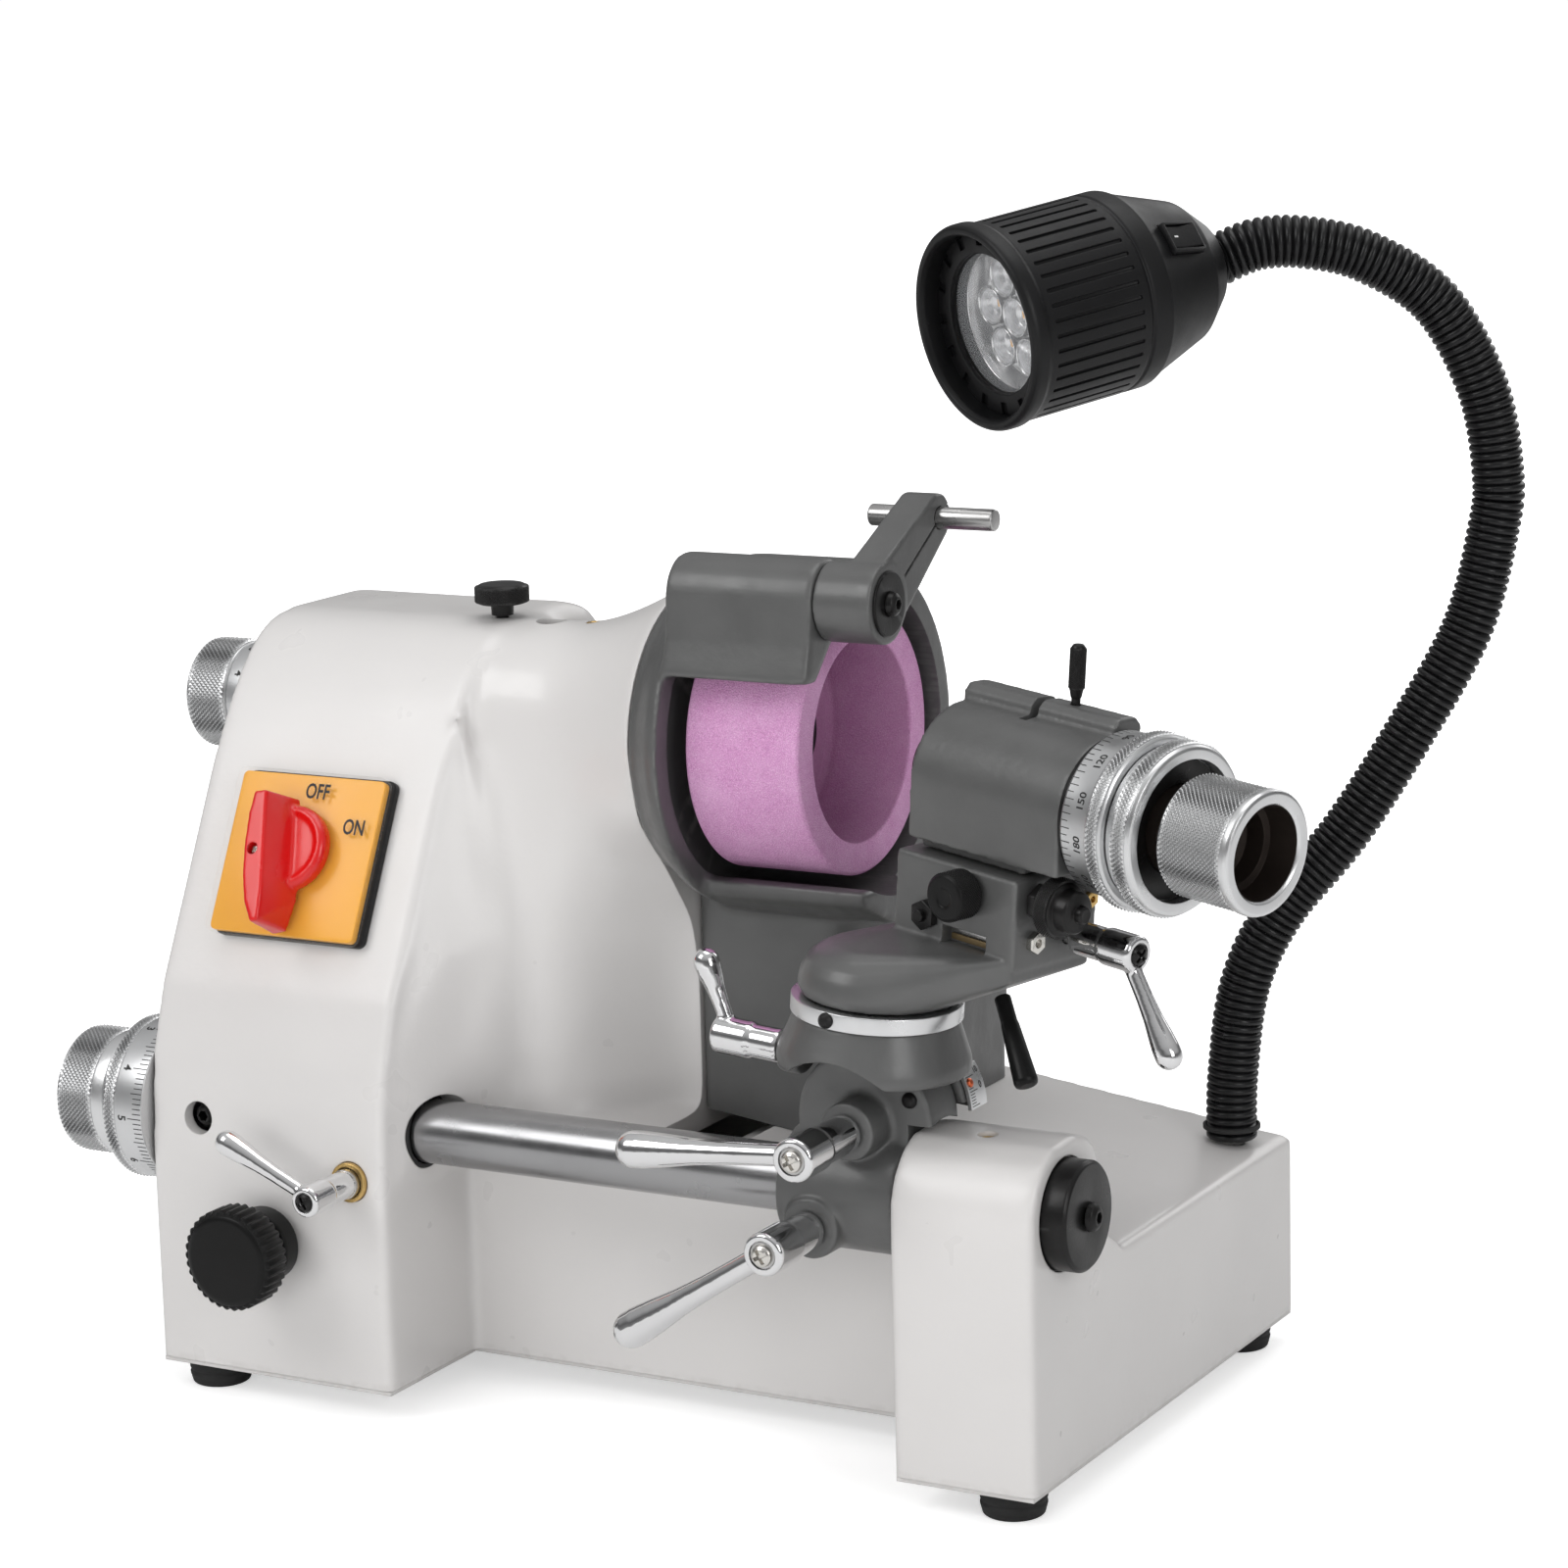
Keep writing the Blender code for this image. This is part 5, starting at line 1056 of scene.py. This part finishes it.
piece(lathe("pointer", [(0, 5.8), (1.6, 5.4), (2.7, 4.2), (2.9, 2.9), (2.4, 1.2), (1.4, 0), (0, 0)], BLACKENED,
            frame_of((112.0, -118.6, 175.2), (0, -1, 0.1)), 48, r=0.2), "arm", slot="black_metal")
piece(box("slot_strip_brass", (-116, -24.2, -51.6), (-97.5, -23.2, -49.4), DULL_BRASS, HEAD_M, bevel=0.2), "arm", slot="steel")
piece(box("slot_strip_steel", (-116, -24.2, -48.8), (-97.5, -23.2, -46.8), STEEL, HEAD_M, bevel=0.2), "arm", slot="steel")


def hex_nut(name, af, h, mat, where, body, hole=0.0, slot="steel"):
    c = af / math.sqrt(3)
    obj = prism(name, [(c * math.cos(math.radians(60 * k + 30)), c * math.sin(math.radians(60 * k + 30))) for k in range(6)], "XY", 0, h, mat, where, bevel=0.35)
    if hole:
        boolean(obj, [rod("k", hole, h * 0.4, h + 2, None, where, 32, r=0)])
        obj.data.set_sharp_from_angle(angle=math.radians(35))
    return piece(obj, body, slot=slot)


hex_nut("stud_nut", 9.5, 3.4, BLACKENED, HEAD_M @ frame_of((-124, -28.0, -44), (0, -1, 0)), "arm", 2.1, "black_metal")
piece(rod("stud_end", 2.2, 0, 5.4, BLACKENED, HEAD_M @ frame_of((-124, -28.0, -44), (0, -1, 0)), 32, r=0.3), "arm", slot="black_metal")
hex_nut("gib_nut_a", 6.8, 2.8, ZINC, head_axis(-84.2, -18, -46.5), "arm", 1.6)
hex_nut("gib_nut_b", 5.6, 2.2, BRASS, head_axis(-84.2, 9.5, -36), "arm", 1.2)

AL = HEAD_M @ frame_of((-98.3, -13.4, -76.9), (-0.62, 0.25, 0.74))
piece(lathe("arm_lock", [(0, 7), (2.4, 7), (2.9, 6.4), (2.9, -2.6), (3.2, -4.2), (4.3, -25.2), (3.9, -26.5), (2.6, -27), (0, -27)], KNOB_BLACK, AL, 72, r=0.4), "arm_lock", "arm_lock_lever", slot="black_metal")

SK = HEAD_M @ frame_of((-105.5, -28.5, -32), (0, -1, 0))
piece(lathe("stop_knob_core", [(0, 11.6), (3.0, 11.6), (3.6, 12), (7.4, 12), (8.2, 11.3), (8.2, 2.2), (7.4, 1.4), (2.8, 1.2), (2.8, -4), (0, -4)], KNOB_BLACK, SK, 96,
            r=0.3), "stop_pin_knob", "stop_knob", slot="black_plastic")
piece(knurl("stop_knob_knurl", 8.8, 2.0, 11.0, KNOB_BLACK, SK, 1.0, 0.35, inner=1.4), "stop_pin_knob", slot="black_plastic")
TW = head_axis(-84, -18, -32)
piece(lathe("stop_wheel_core", [(0, 22.6), (2.4, 23), (3.0, 22.4), (3.0, 20), (6.8, 19.5), (7.4, 18.8), (7.4, 14.4), (9.2, 14.0), (9.8, 13), (9.8, 8.4), (9.0, 7.5),
                                (3.4, 7.2), (3.4, 5), (5.4, 4.6), (5.4, 1), (2.8, 0.8), (2.8, -8), (0, -8)], BLACKENED, TW, 96, r=0.25), "stop_screw",
      "stop_thumbwheel", slot="black_metal")
piece(knurl("stop_wheel_knurl", 10.6, 8.0, 13.6, BLACKENED, TW, 1.0, 0.35, inner=1.6), "stop_screw", slot="black_metal")
hex_nut("stop_wheel_hex", 11.5, 3.4, BLACKENED, head_axis(-82.8, -18, -32), "stop_screw", 0, "black_metal")

# ---------------------------------------------------------------- workhead
SH = head_axis()
profile = [(-25, -20), (-22, -20), (25, -20)] + arc(0, 0, 25, 0, 180, 48)
workhead = cast("workhead", [
    prism("w0", [(-25, -20), (25, -20)] + arc(0, 0, 25, 0, 180, 48), "YZ", -138, -69.3, None, HEAD_M),
    prism("w1", [(2, 12), (16, 12), (16, 27), (13.5, 30), (5, 30.6), (2, 28)], "YZ", -139.5, -70, None, HEAD_M),
    box("w2", (-136, -20, -23.7), (-88, 12, -18), None, HEAD_M, bevel=0),
], GREY, 0.75, 5, [
    box("k", (-108, -4, 23.5), (-104.5, 20, 40), None, HEAD_M, bevel=0),
    rod("k", 15.4, -150, -60, None, SH, 96, r=0),
    rod("k", 2.0, 10, 40, None, HEAD_M @ frame_of((-94, 9, 0), (0, 0, 1)), 32, r=0),
])
piece(workhead, "workhead", "workhead_body", slot="grey_paint")
# painted shadow: a blackened ring stands in for the shade in the gap between the workhead body and the index dial
piece(tube("head_gap_shadow_ring", 25.9, 15.6, -69.1, -66.4, BLACKENED, SH, 96, r=0.2), "workhead", slot="black_metal")
piece(lathe("work_spindle", [(11.2, -32), (12, -32), (14.4, -32), (15, -34), (15, -145), (13.5, -148), (6.6, -148), (6, -147), (6, -60), (12, -56), (12, -34)], BORE_SHADE, SH, 96,
            ring=True, r=0.2), "index_spindle", "workhead_spindle", slot="steel")
piece(tube("dial_backing", 27.4, 15.6, -66.2, -65.2, BLACKENED, SH, 96, r=0.1), "index_spindle", slot="black_metal")


def index_r(h):
    return float(np.interp(h, [-66, -62, -54, -53], [28.3, 28.3, 29.3, 30.4]))


piece(lathe("index_dial", [(15.3, -47.2), (29.0, -47.2), (29.9, -48.0), (29.9, -53.0), (29.3, -54.2), (28.3, -62), (28.3, -65.2), (27.8, -66), (15.3, -66)], RING, SH, 160,
            ring=True, r=0.2), "index_spindle", "index_ring", slot="aluminium")
piece(knurl("index_dial_knurl", 31.0, -53.0, -48.0, KNURL, SH, 1.75, 0.65, inner=1.6), "index_spindle", slot="aluminium")
marks = [("tick", i * 5 + 10, -65.2, -62.6 if i % 2 else -61.6, 0.3) for i in range(72)]
marks += [("text", str(n), 4.4, n + 10, -57.8, 180) for n in range(0, 360, 30)]
piece(ring_marks("index_dial_marks", marks, INK, SH, index_r), "index_spindle", slot="black_metal")
piece(lathe("index_lock", [(24.5, -35), (27.6, -35), (28.6, -35.4), (29.2, -36.6), (29.2, -42.6), (28.4, -43.6), (27, -44), (27, -46.8), (15.3, -46.8), (15.3, -40),
                           (24.5, -40)], SILVER, SH, 160, ring=True, r=0.2), "index_spindle", "index_lock_ring", slot="aluminium")
piece(knurl("index_lock_knurl", 30.2, -42.8, -36.8, KNURL, SH, 1.75, 0.65, inner=1.6), "index_spindle", slot="aluminium")
piece(tube("index_lock_floor", 24.2, 15.4, -40.2, -39.4, BLACKENED, SH, 96, r=0.1), "index_spindle", slot="black_metal")
piece(lathe("draw_body", [(17.0, -0.2), (20.0, 0), (21.0, -0.4), (21.4, -1.4), (21.4, -3.4), (20.4, -4.2), (19.3, -30.2), (19.6, -30.6), (19.2, -31.6), (6.6, -31.6), (6.6, -22),
                          (16.2, -20), (16.2, -1.0)], SILVER, SH, 160, ring=True, r=0.2), "draw", "draw_sleeve", slot="aluminium")
band = knurl("draw_knurl", 21.1, -30.0, -3.8, KNURL, SH, 1.75, 0.65, inner=2.2)
piece(band, "draw", slot="aluminium")
piece(lathe("draw_bore", [(16.1, -1.2), (16.0, -1.2), (15.6, -12), (13.0, -12.4), (12.6, -19.4), (6.7, -20.6), (6.7, -22.4), (12.8, -21.0), (16.1, -13)], BORE_SHADE, SH, 96,
            ring=True, r=0.1), "draw", slot="steel")
IP = HEAD_M @ frame_of((-94, 9, 0), (0, 0, 1))
piece(lathe("index_pin_core", [(0, 51.4), (1.8, 51.4), (2.5, 50.4), (2.5, 36), (2.2, 34.6), (1.9, 33), (1.6, 32.6), (1.6, 17.5), (0, 17.5)], BLACKENED, IP, 48, r=0.3),
      "index_plunger", "index_pin", slot="black_metal")
piece(knurl("index_pin_knurl", 2.95, 36.0, 50.2, BLACKENED, IP, 0.75, 0.28, inner=0.7), "index_plunger", slot="black_metal")

# ---------------------------------------------------------------- wheel dresser
by, bz = BOSS
ty, tz = -3.0, 332.0
heading = math.degrees(math.atan2(tz - bz, ty - by))
dresser = cast("dresser", [
    rod("d0", 14.5, 76.5, 99.0, None, along_x(0, by, bz), 96, r=0),
    prism("d1", arc(by, bz, 13.5, heading + 90, heading + 270, 24) + arc(ty, tz, 8.8, heading - 90, heading + 90, 24), "YZ", 84.5, 98.6, None),
], GREY, 0.6, 4, [
    rod("k", 4.3, 80, 104, None, along_x(0, ty, tz), 48, r=0),
    rod("k", 3.3, 90, 103, None, along_x(0, by, bz), 40, r=0),
    prism("k", [(by + 14, bz + 8.6), (ty + 12, tz + 7.6), (ty + 12, tz + 6.2), (by + 14, bz + 7.2)], "YZ", 80, 104, None),
    rod("k", 2.1, 85, 104, None, frame_of((91.5, ty - 16, tz + 0), (0, 0, 1)) @ Matrix.Translation((0, 0, -80)), 32, r=0),
])
piece(dresser, "dresser", "dresser_arm", slot="grey_paint")
piece(rod("dresser_rod", 4.0, 71, 121, STEEL, along_x(0, ty, tz), 64, r=0.8), "dresser_rod", "dresser_pin", slot="steel")
piece(lathe("dresser_washer", [(3.2, 100.0), (11.2, 100.0), (11.8, 99.6), (11.8, 99.1), (3.2, 99.1)], BLACKENED, along_x(0, by, bz), 96, ring=True, r=0.15), "dresser_lock",
      slot="black_metal")
dscrew = lathe("dresser_bolt", [(0, 103.2), (2.6, 103.2), (4.0, 102.2), (4.7, 100.1), (3.0, 99.4), (3.0, 92), (0, 92)], BLACKENED, along_x(0, by, bz), 48, r=0.3)
boolean(dscrew, [prism("k", [(2.0 * math.cos(math.radians(60 * k)), 2.0 * math.sin(math.radians(60 * k))) for k in range(6)], "XY", 101.2, 106, None, along_x(0, by, bz))])
dscrew.data.set_sharp_from_angle(angle=math.radians(35))
piece(dscrew, "dresser_lock", "dresser_screw", slot="black_metal")

# ---------------------------------------------------------------- gooseneck lamp
NECK_BASE, NECK_DIR = (169.7, 91.4), (0.8724, 0.4888)
LAMP_DIR = Vector((-0.487, -0.857, -0.161)).normalized()
NECK = [
    (0, 85.0), (0.6, 110), (5.5, 145), (19, 173), (43, 202), (67, 239), (89, 279), (98.5, 316), (100, 337), (94, 369), (77, 400),
    (52, 417), (30, 423), (12, 423), (-3, 417.5),
]


def spline_through(knots, per_span):
    return smooth_chain(knots, per_span)


coarse = [Vector((NECK_BASE[0] + NECK_DIR[0] * u, NECK_BASE[1] + NECK_DIR[1] * u, z)) for u, z in spline_through(NECK, 2)]
lamp_rear = coarse[-1] + LAMP_DIR * 6.0
fine = [Vector((NECK_BASE[0] + NECK_DIR[0] * u, NECK_BASE[1] + NECK_DIR[1] * u, z)) for u, z in spline_through(NECK, 12)]
fine = fine[:-1] + [lamp_rear - LAMP_DIR * 5.0, lamp_rear + LAMP_DIR * 0.1]
split_at = coarse[15]
lengths = np.concatenate([[0], np.cumsum([(b - a).length for a, b in zip(fine, fine[1:])])])
fine_np = np.array([tuple(p) for p in fine])
split_len = lengths[int(np.argmin(np.linalg.norm(fine_np - np.array(tuple(split_at)), axis=1)))]


def along_neck(s):
    return np.array([np.interp(s, lengths, fine_np[:, k]) for k in range(3)])


def corrugated(name, s0, s1, mat, pitch=3.05, steps=48):
    """A sleeve of rounded ridges along the neck's centre line."""
    count = max(int(round((s1 - s0) / pitch)), 1)
    per = 6
    shape = [0.0, 0.62, 0.97, 1.0, 0.97, 0.62]
    stations = [(s0 + (s1 - s0) * (i + k / per) / count, shape[k]) for i in range(count) for k in range(per)] + [(s1, 0.0)]
    across = Vector((NECK_DIR[1], -NECK_DIR[0], 0)).normalized()
    verts, faces = [], []
    for s, up in stations:
        c = along_neck(s)
        t = along_neck(min(s + 1.5, lengths[-1])) - along_neck(max(s - 1.5, 0))
        t = Vector(t).normalized()
        a = (across - t * across.dot(t)).normalized()
        b = t.cross(a).normalized()
        r = 8.5 + 1.2 * up
        for k in range(steps):
            q = math.tau * k / steps
            verts.append(tuple(Vector(c) + a * (r * math.cos(q)) + b * (r * math.sin(q))))
    n = len(stations)
    for i in range(n - 1):
        for k in range(steps):
            j = (k + 1) % steps
            faces.append((i * steps + k, i * steps + j, (i + 1) * steps + j, (i + 1) * steps + k))
    faces += [tuple(range(steps)), tuple(range((n - 1) * steps, n * steps))]
    return make(name, verts, faces, mat, 50)


piece(corrugated("neck_sleeve_low", 0.0, split_len - 0.1, NECK_BLACK), "neck_low", "gooseneck_lower", slot="black_plastic")
piece(corrugated("neck_sleeve_high", split_len + 0.1, float(lengths[-1]), NECK_BLACK), "neck_high", "gooseneck_upper", slot="black_plastic")
piece(tube("neck_collar", 10.9, 9.9, 85.0 + 3.9, 85.0 + 5.6, RUBBER, Matrix.Translation((169.7, 91.4, 0)), 64, r=0.3), "base", slot="black_rubber")

LAMP_M = frame_of(lamp_rear, LAMP_DIR, (0, 0, 1))
side = (Vector((0, 0, 1)) - LAMP_DIR * LAMP_DIR.z).normalized()
right = LAMP_DIR.cross(side).normalized()
out = (side * 0.55 + (-right) * 0.835).normalized()
ROCK = frame_of(lamp_rear + LAMP_DIR * 27 + out * 30.9, out + LAMP_DIR * -0.36, tuple(LAMP_DIR))
head = lathe("lamp_body", [(0, 20), (22, 30), (30.8, 48), (30.8, 84), (33.2, 86), (33.2, 101.2), (34.2, 103), (36.2, 103), (37.2, 102), (37.6, 100.6), (37.6, 97), (36.9, 95.8), (36.5, 95),
                           (36.5, 51.4), (35.9, 50.8), (35.9, 50.0), (36.5, 49.4), (36.5, 42), (34.5, 38), (26.5, 14), (17.4, 3), (14, 0.6), (0, 0.6)], PLASTIC, LAMP_M, 192, r=0.5)
grooves = []
for k in range(42):
    a = math.tau * k / 42
    grooves.append(box("k", (35.4, -0.8, 54.5), (38.6, 0.8, 92.5), None, LAMP_M @ Matrix.Rotation(a, 4, "Z"), bevel=0.5, segments=2))
boolean(head, [merged("k", grooves), box("k", (-9.2, -6.2, -3.2), (9.2, 6.2, 12), None, ROCK, bevel=0)])
head.data.set_sharp_from_angle(angle=math.radians(35))
head.data.materials.clear()
head.data.materials.append(PLASTIC)
piece(head, "lamp", "lamp_head", slot="black_plastic")
notched = tube("lamp_bezel", 33.2, 25.6, 93.4, 95.4, PLASTIC, LAMP_M, 144, r=0.3)
boolean(notched, [merged("k", [box("k", (28.6, -1.8, 90), (36, 1.8, 99), None, LAMP_M @ Matrix.Rotation(math.tau * k / 16, 4, "Z"), bevel=0.3, segments=2) for k in range(16)])])
notched.data.set_sharp_from_angle(angle=math.radians(35))
piece(notched, "lamp", slot="black_plastic")
piece(lathe("lamp_barrel", [(25.8, 94.2), (33.0, 94.2), (33.0, 78.4), (25.0, 78.4)], PLASTIC, LAMP_M, 128, ring=True, r=0.3), "lamp", slot="black_plastic")
piece(lathe("lamp_reflector", [(0, 80.0), (23.8, 80.0), (25.2, 88), (26, 88), (26, 78.6), (0, 78.6)], REFLECTOR, LAMP_M, 128, r=0.2), "lamp", slot="aluminium")
spots = [(0, 0)] + [(15.2 * math.cos(math.tau * k / 6 + 0.3), 15.2 * math.sin(math.tau * k / 6 + 0.3)) for k in range(6)]
for i, (u, v) in enumerate(spots):
    at = LAMP_M @ Matrix.Translation((u, v, 80.0))
    piece(lathe(f"led_cup_{i}", [(7.2, 5.4), (6.7, 5.4), (4.6, 1.0), (2.0, 0.2), (2.0, 0), (7.2, 0)], REFLECTOR, at, 48, ring=True, r=0.15), "lamp", slot="aluminium")
    dome = [(0, 7.2)] + [(6.5 * math.sin(math.radians(a)), 3.0 + 4.2 * math.cos(math.radians(a))) for a in (12, 25, 38, 50, 62, 74, 86)] + [(6.4, 2.0), (3.4, 0.4), (0, 0.4)]
    piece(lathe(f"led_dome_{i}", dome, LENS, at, 48, r=0), "lamp", slot="clear_lens")
    piece(box(f"led_chip_{i}", (-1.4, -1.4, 0.1), (1.4, 1.4, 0.9), YELLOW, at, bevel=0.2), "lamp", slot="yellow_plastic")
glass = rod("lamp_glass", 25.4, 91.6, 92.6, WINDOW, LAMP_M, 96, r=0.2)
piece(glass, "lamp", "lamp_lens", slot="clear_lens")
tilt = math.radians(4)
rocker = prism("rocker", [(-7.6, -1.0), (7.6, -1.0), (7.6, 1.3), (0.0, 0.9), (-7.6, 2.6)], "XZ", -4.4, 4.4, PLASTIC, ROCK, bevel=0.35)
piece(rocker, "lamp_switch", "lamp_rocker", slot="black_plastic")
frame_r = prism("rocker_frame", rounded(-9.1, -6.1, 9.1, 6.1, 1.0), "XY", -1.2, 1.7, PLASTIC, ROCK, bevel=0.3)
boolean(frame_r, [box("k", (-8.1, -4.9, -4), (8.1, 4.9, 5), None, ROCK, bevel=0)])
frame_r.data.set_sharp_from_angle(angle=math.radians(35))
piece(frame_r, "lamp", slot="black_plastic")
piece(flat_marks("rocker_marks", [("bar", 3.4, -0.35, 5.4, 0.35), ("text", "O", 3.0, -4.4, 0.0, 90)], INK_WHITE, ROCK @ Matrix.Translation((0, 0, 1.3)), 0.1), "lamp_switch", slot="black_plastic")

# ---------------------------------------------------------------- CAD nodes carried over
KEEP_MATS = {
    "bottom_plate": WHITE, "spindle_quill": STEEL, "quill_bearing_front": STEEL, "quill_bearing_rear": STEEL, "spindle_pulley": SILVER,
    "motor_body": MOTOR_BLACK, "motor_shaft": STEEL, "motor_pulley": SILVER, "drive_belt": RUBBER,
}
for node, mat in KEEP_MATS.items():
    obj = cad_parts[node]
    obj.data.materials.clear()
    obj.data.materials.append(mat)

# ---------------------------------------------------------------- studio
m, nt, shader = graph("studio_floor")
shader.inputs["Base Color"].default_value = (0.90, 0.90, 0.90, 1)
shader.inputs["Roughness"].default_value = 0.55
shader.inputs["Specular IOR Level"].default_value = 0.25
link(nt, remap(nt, noise_node(nt, coords(nt), 6.0), 0.5, 0.6), shader.inputs["Roughness"])
seen = nt.nodes.new("ShaderNodeLightPath")
shader.inputs["Emission Color"].default_value = (1, 1, 1, 1)
far = nt.nodes.new("ShaderNodeVectorMath")
far.operation = "LENGTH"
link(nt, coords(nt), far.inputs[0])
glow = nt.nodes.new("ShaderNodeMath")
glow.operation = "MULTIPLY"
link(nt, seen.outputs["Is Camera Ray"], glow.inputs[0])
link(nt, remap(nt, far.outputs["Value"], 0.50, 1.05, 0.30, 1.6), glow.inputs[1])
link(nt, glow.outputs[0], shader.inputs["Emission Strength"])
floor = bpy.data.meshes.new("studio_floor")
floor.from_pydata([(-9, -9, 0), (9, -9, 0), (9, 9, 0), (-9, 9, 0)], [], [(0, 1, 2, 3)])
floor.materials.append(m)
floor = bpy.data.objects.new("studio_floor", floor)
bpy.context.scene.collection.objects.link(floor)

world = bpy.data.worlds.new("studio")
bpy.context.scene.world = world
world.use_nodes = True
nt = world.node_tree
back = nt.nodes["Background"]
back.inputs["Strength"].default_value = 1.0
geo = nt.nodes.new("ShaderNodeNewGeometry")
sep = nt.nodes.new("ShaderNodeSeparateXYZ")
link(nt, geo.outputs["Incoming"], sep.inputs[0])
ramp = nt.nodes.new("ShaderNodeValToRGB")
flip = nt.nodes.new("ShaderNodeMath")
flip.operation = "MULTIPLY_ADD"
flip.inputs[1].default_value = -0.5
flip.inputs[2].default_value = 0.5
link(nt, sep.outputs["Z"], flip.inputs[0])
link(nt, flip.outputs[0], ramp.inputs["Fac"])
ramp.color_ramp.elements[0].position = 0.0
ramp.color_ramp.elements[0].color = (0.75, 0.75, 0.75, 1)
ramp.color_ramp.elements[1].position = 1.0
ramp.color_ramp.elements[1].color = (0.62, 0.62, 0.62, 1)
for pos, c in ((0.50, 0.34), (0.54, 0.18), (0.62, 0.12), (0.72, 0.36)):
    e = ramp.color_ramp.elements.new(pos)
    e.color = (c, c, c * 1.01, 1)
path = nt.nodes.new("ShaderNodeLightPath")
mixed = nt.nodes.new("ShaderNodeMix")
mixed.data_type = "RGBA"
link(nt, path.outputs["Is Camera Ray"], mixed.inputs[0])
link(nt, ramp.outputs["Color"], mixed.inputs[6])
mixed.inputs[7].default_value = (1.02, 1.02, 1.02, 1)
link(nt, mixed.outputs[2], back.inputs["Color"])


def softbox(name, at, aim, size, power, colour=(1, 1, 1)):
    data = bpy.data.lights.new(name, "AREA")
    data.shape = "RECTANGLE"
    data.size, data.size_y = size
    data.energy = power
    data.color = colour
    obj = bpy.data.objects.new(name, data)
    bpy.context.scene.collection.objects.link(obj)
    obj.location = at
    obj.rotation_mode = "QUATERNION"
    obj.rotation_quaternion = (Vector(aim) - Vector(at)).to_track_quat("-Z", "Y")
    return obj


softbox("key", (-0.9, -1.3, 1.5), (0, 0, 0.15), (1.0, 1.0), 10.5)
softbox("fill", (1.7, -0.9, 0.9), (0, 0, 0.2), (0.7, 1.0), 7.5)
softbox("top", (0.1, 0.2, 1.8), (0, 0, 0.1), (1.2, 1.2), 7.5)
softbox("back", (0.3, 1.8, 1.0), (0, 0, 0.2), (1.4, 0.8), 6)
low = softbox("front_fill", (0.25, -2.1, 0.42), (0, 0, 0.12), (1.6, 0.8), 14)
low.visible_glossy = False

cam_data = bpy.data.cameras.new("photo_view")
cam_data.sensor_width = 36.0
cam_data.lens = 100.638
cam_data.clip_start, cam_data.clip_end = 0.05, 20
cam = bpy.data.objects.new("photo_view", cam_data)
bpy.context.scene.collection.objects.link(cam)
yaw, pitch, roll = 0.510635, 0.197065, -0.027381
sy, cyw, sp, cp = math.sin(yaw), math.cos(yaw), math.sin(pitch), math.cos(pitch)
fwd = Vector((-sy * cp, cyw * cp, -sp))
rgt = Vector((cyw, sy, 0))
upv = rgt.cross(fwd)
r1 = rgt * math.cos(roll) + upv * math.sin(roll)
u1 = -rgt * math.sin(roll) + upv * math.cos(roll)
cam.matrix_world = Matrix((r1, u1, -fwd)).transposed().to_4x4()
cam.location = (Vector((810.4, -1393.3, 547.8)) - CENTRE) * MM
bpy.context.scene.camera = cam
try:
    bpy.context.scene.view_settings.view_transform = "Standard"
except TypeError:
    pass
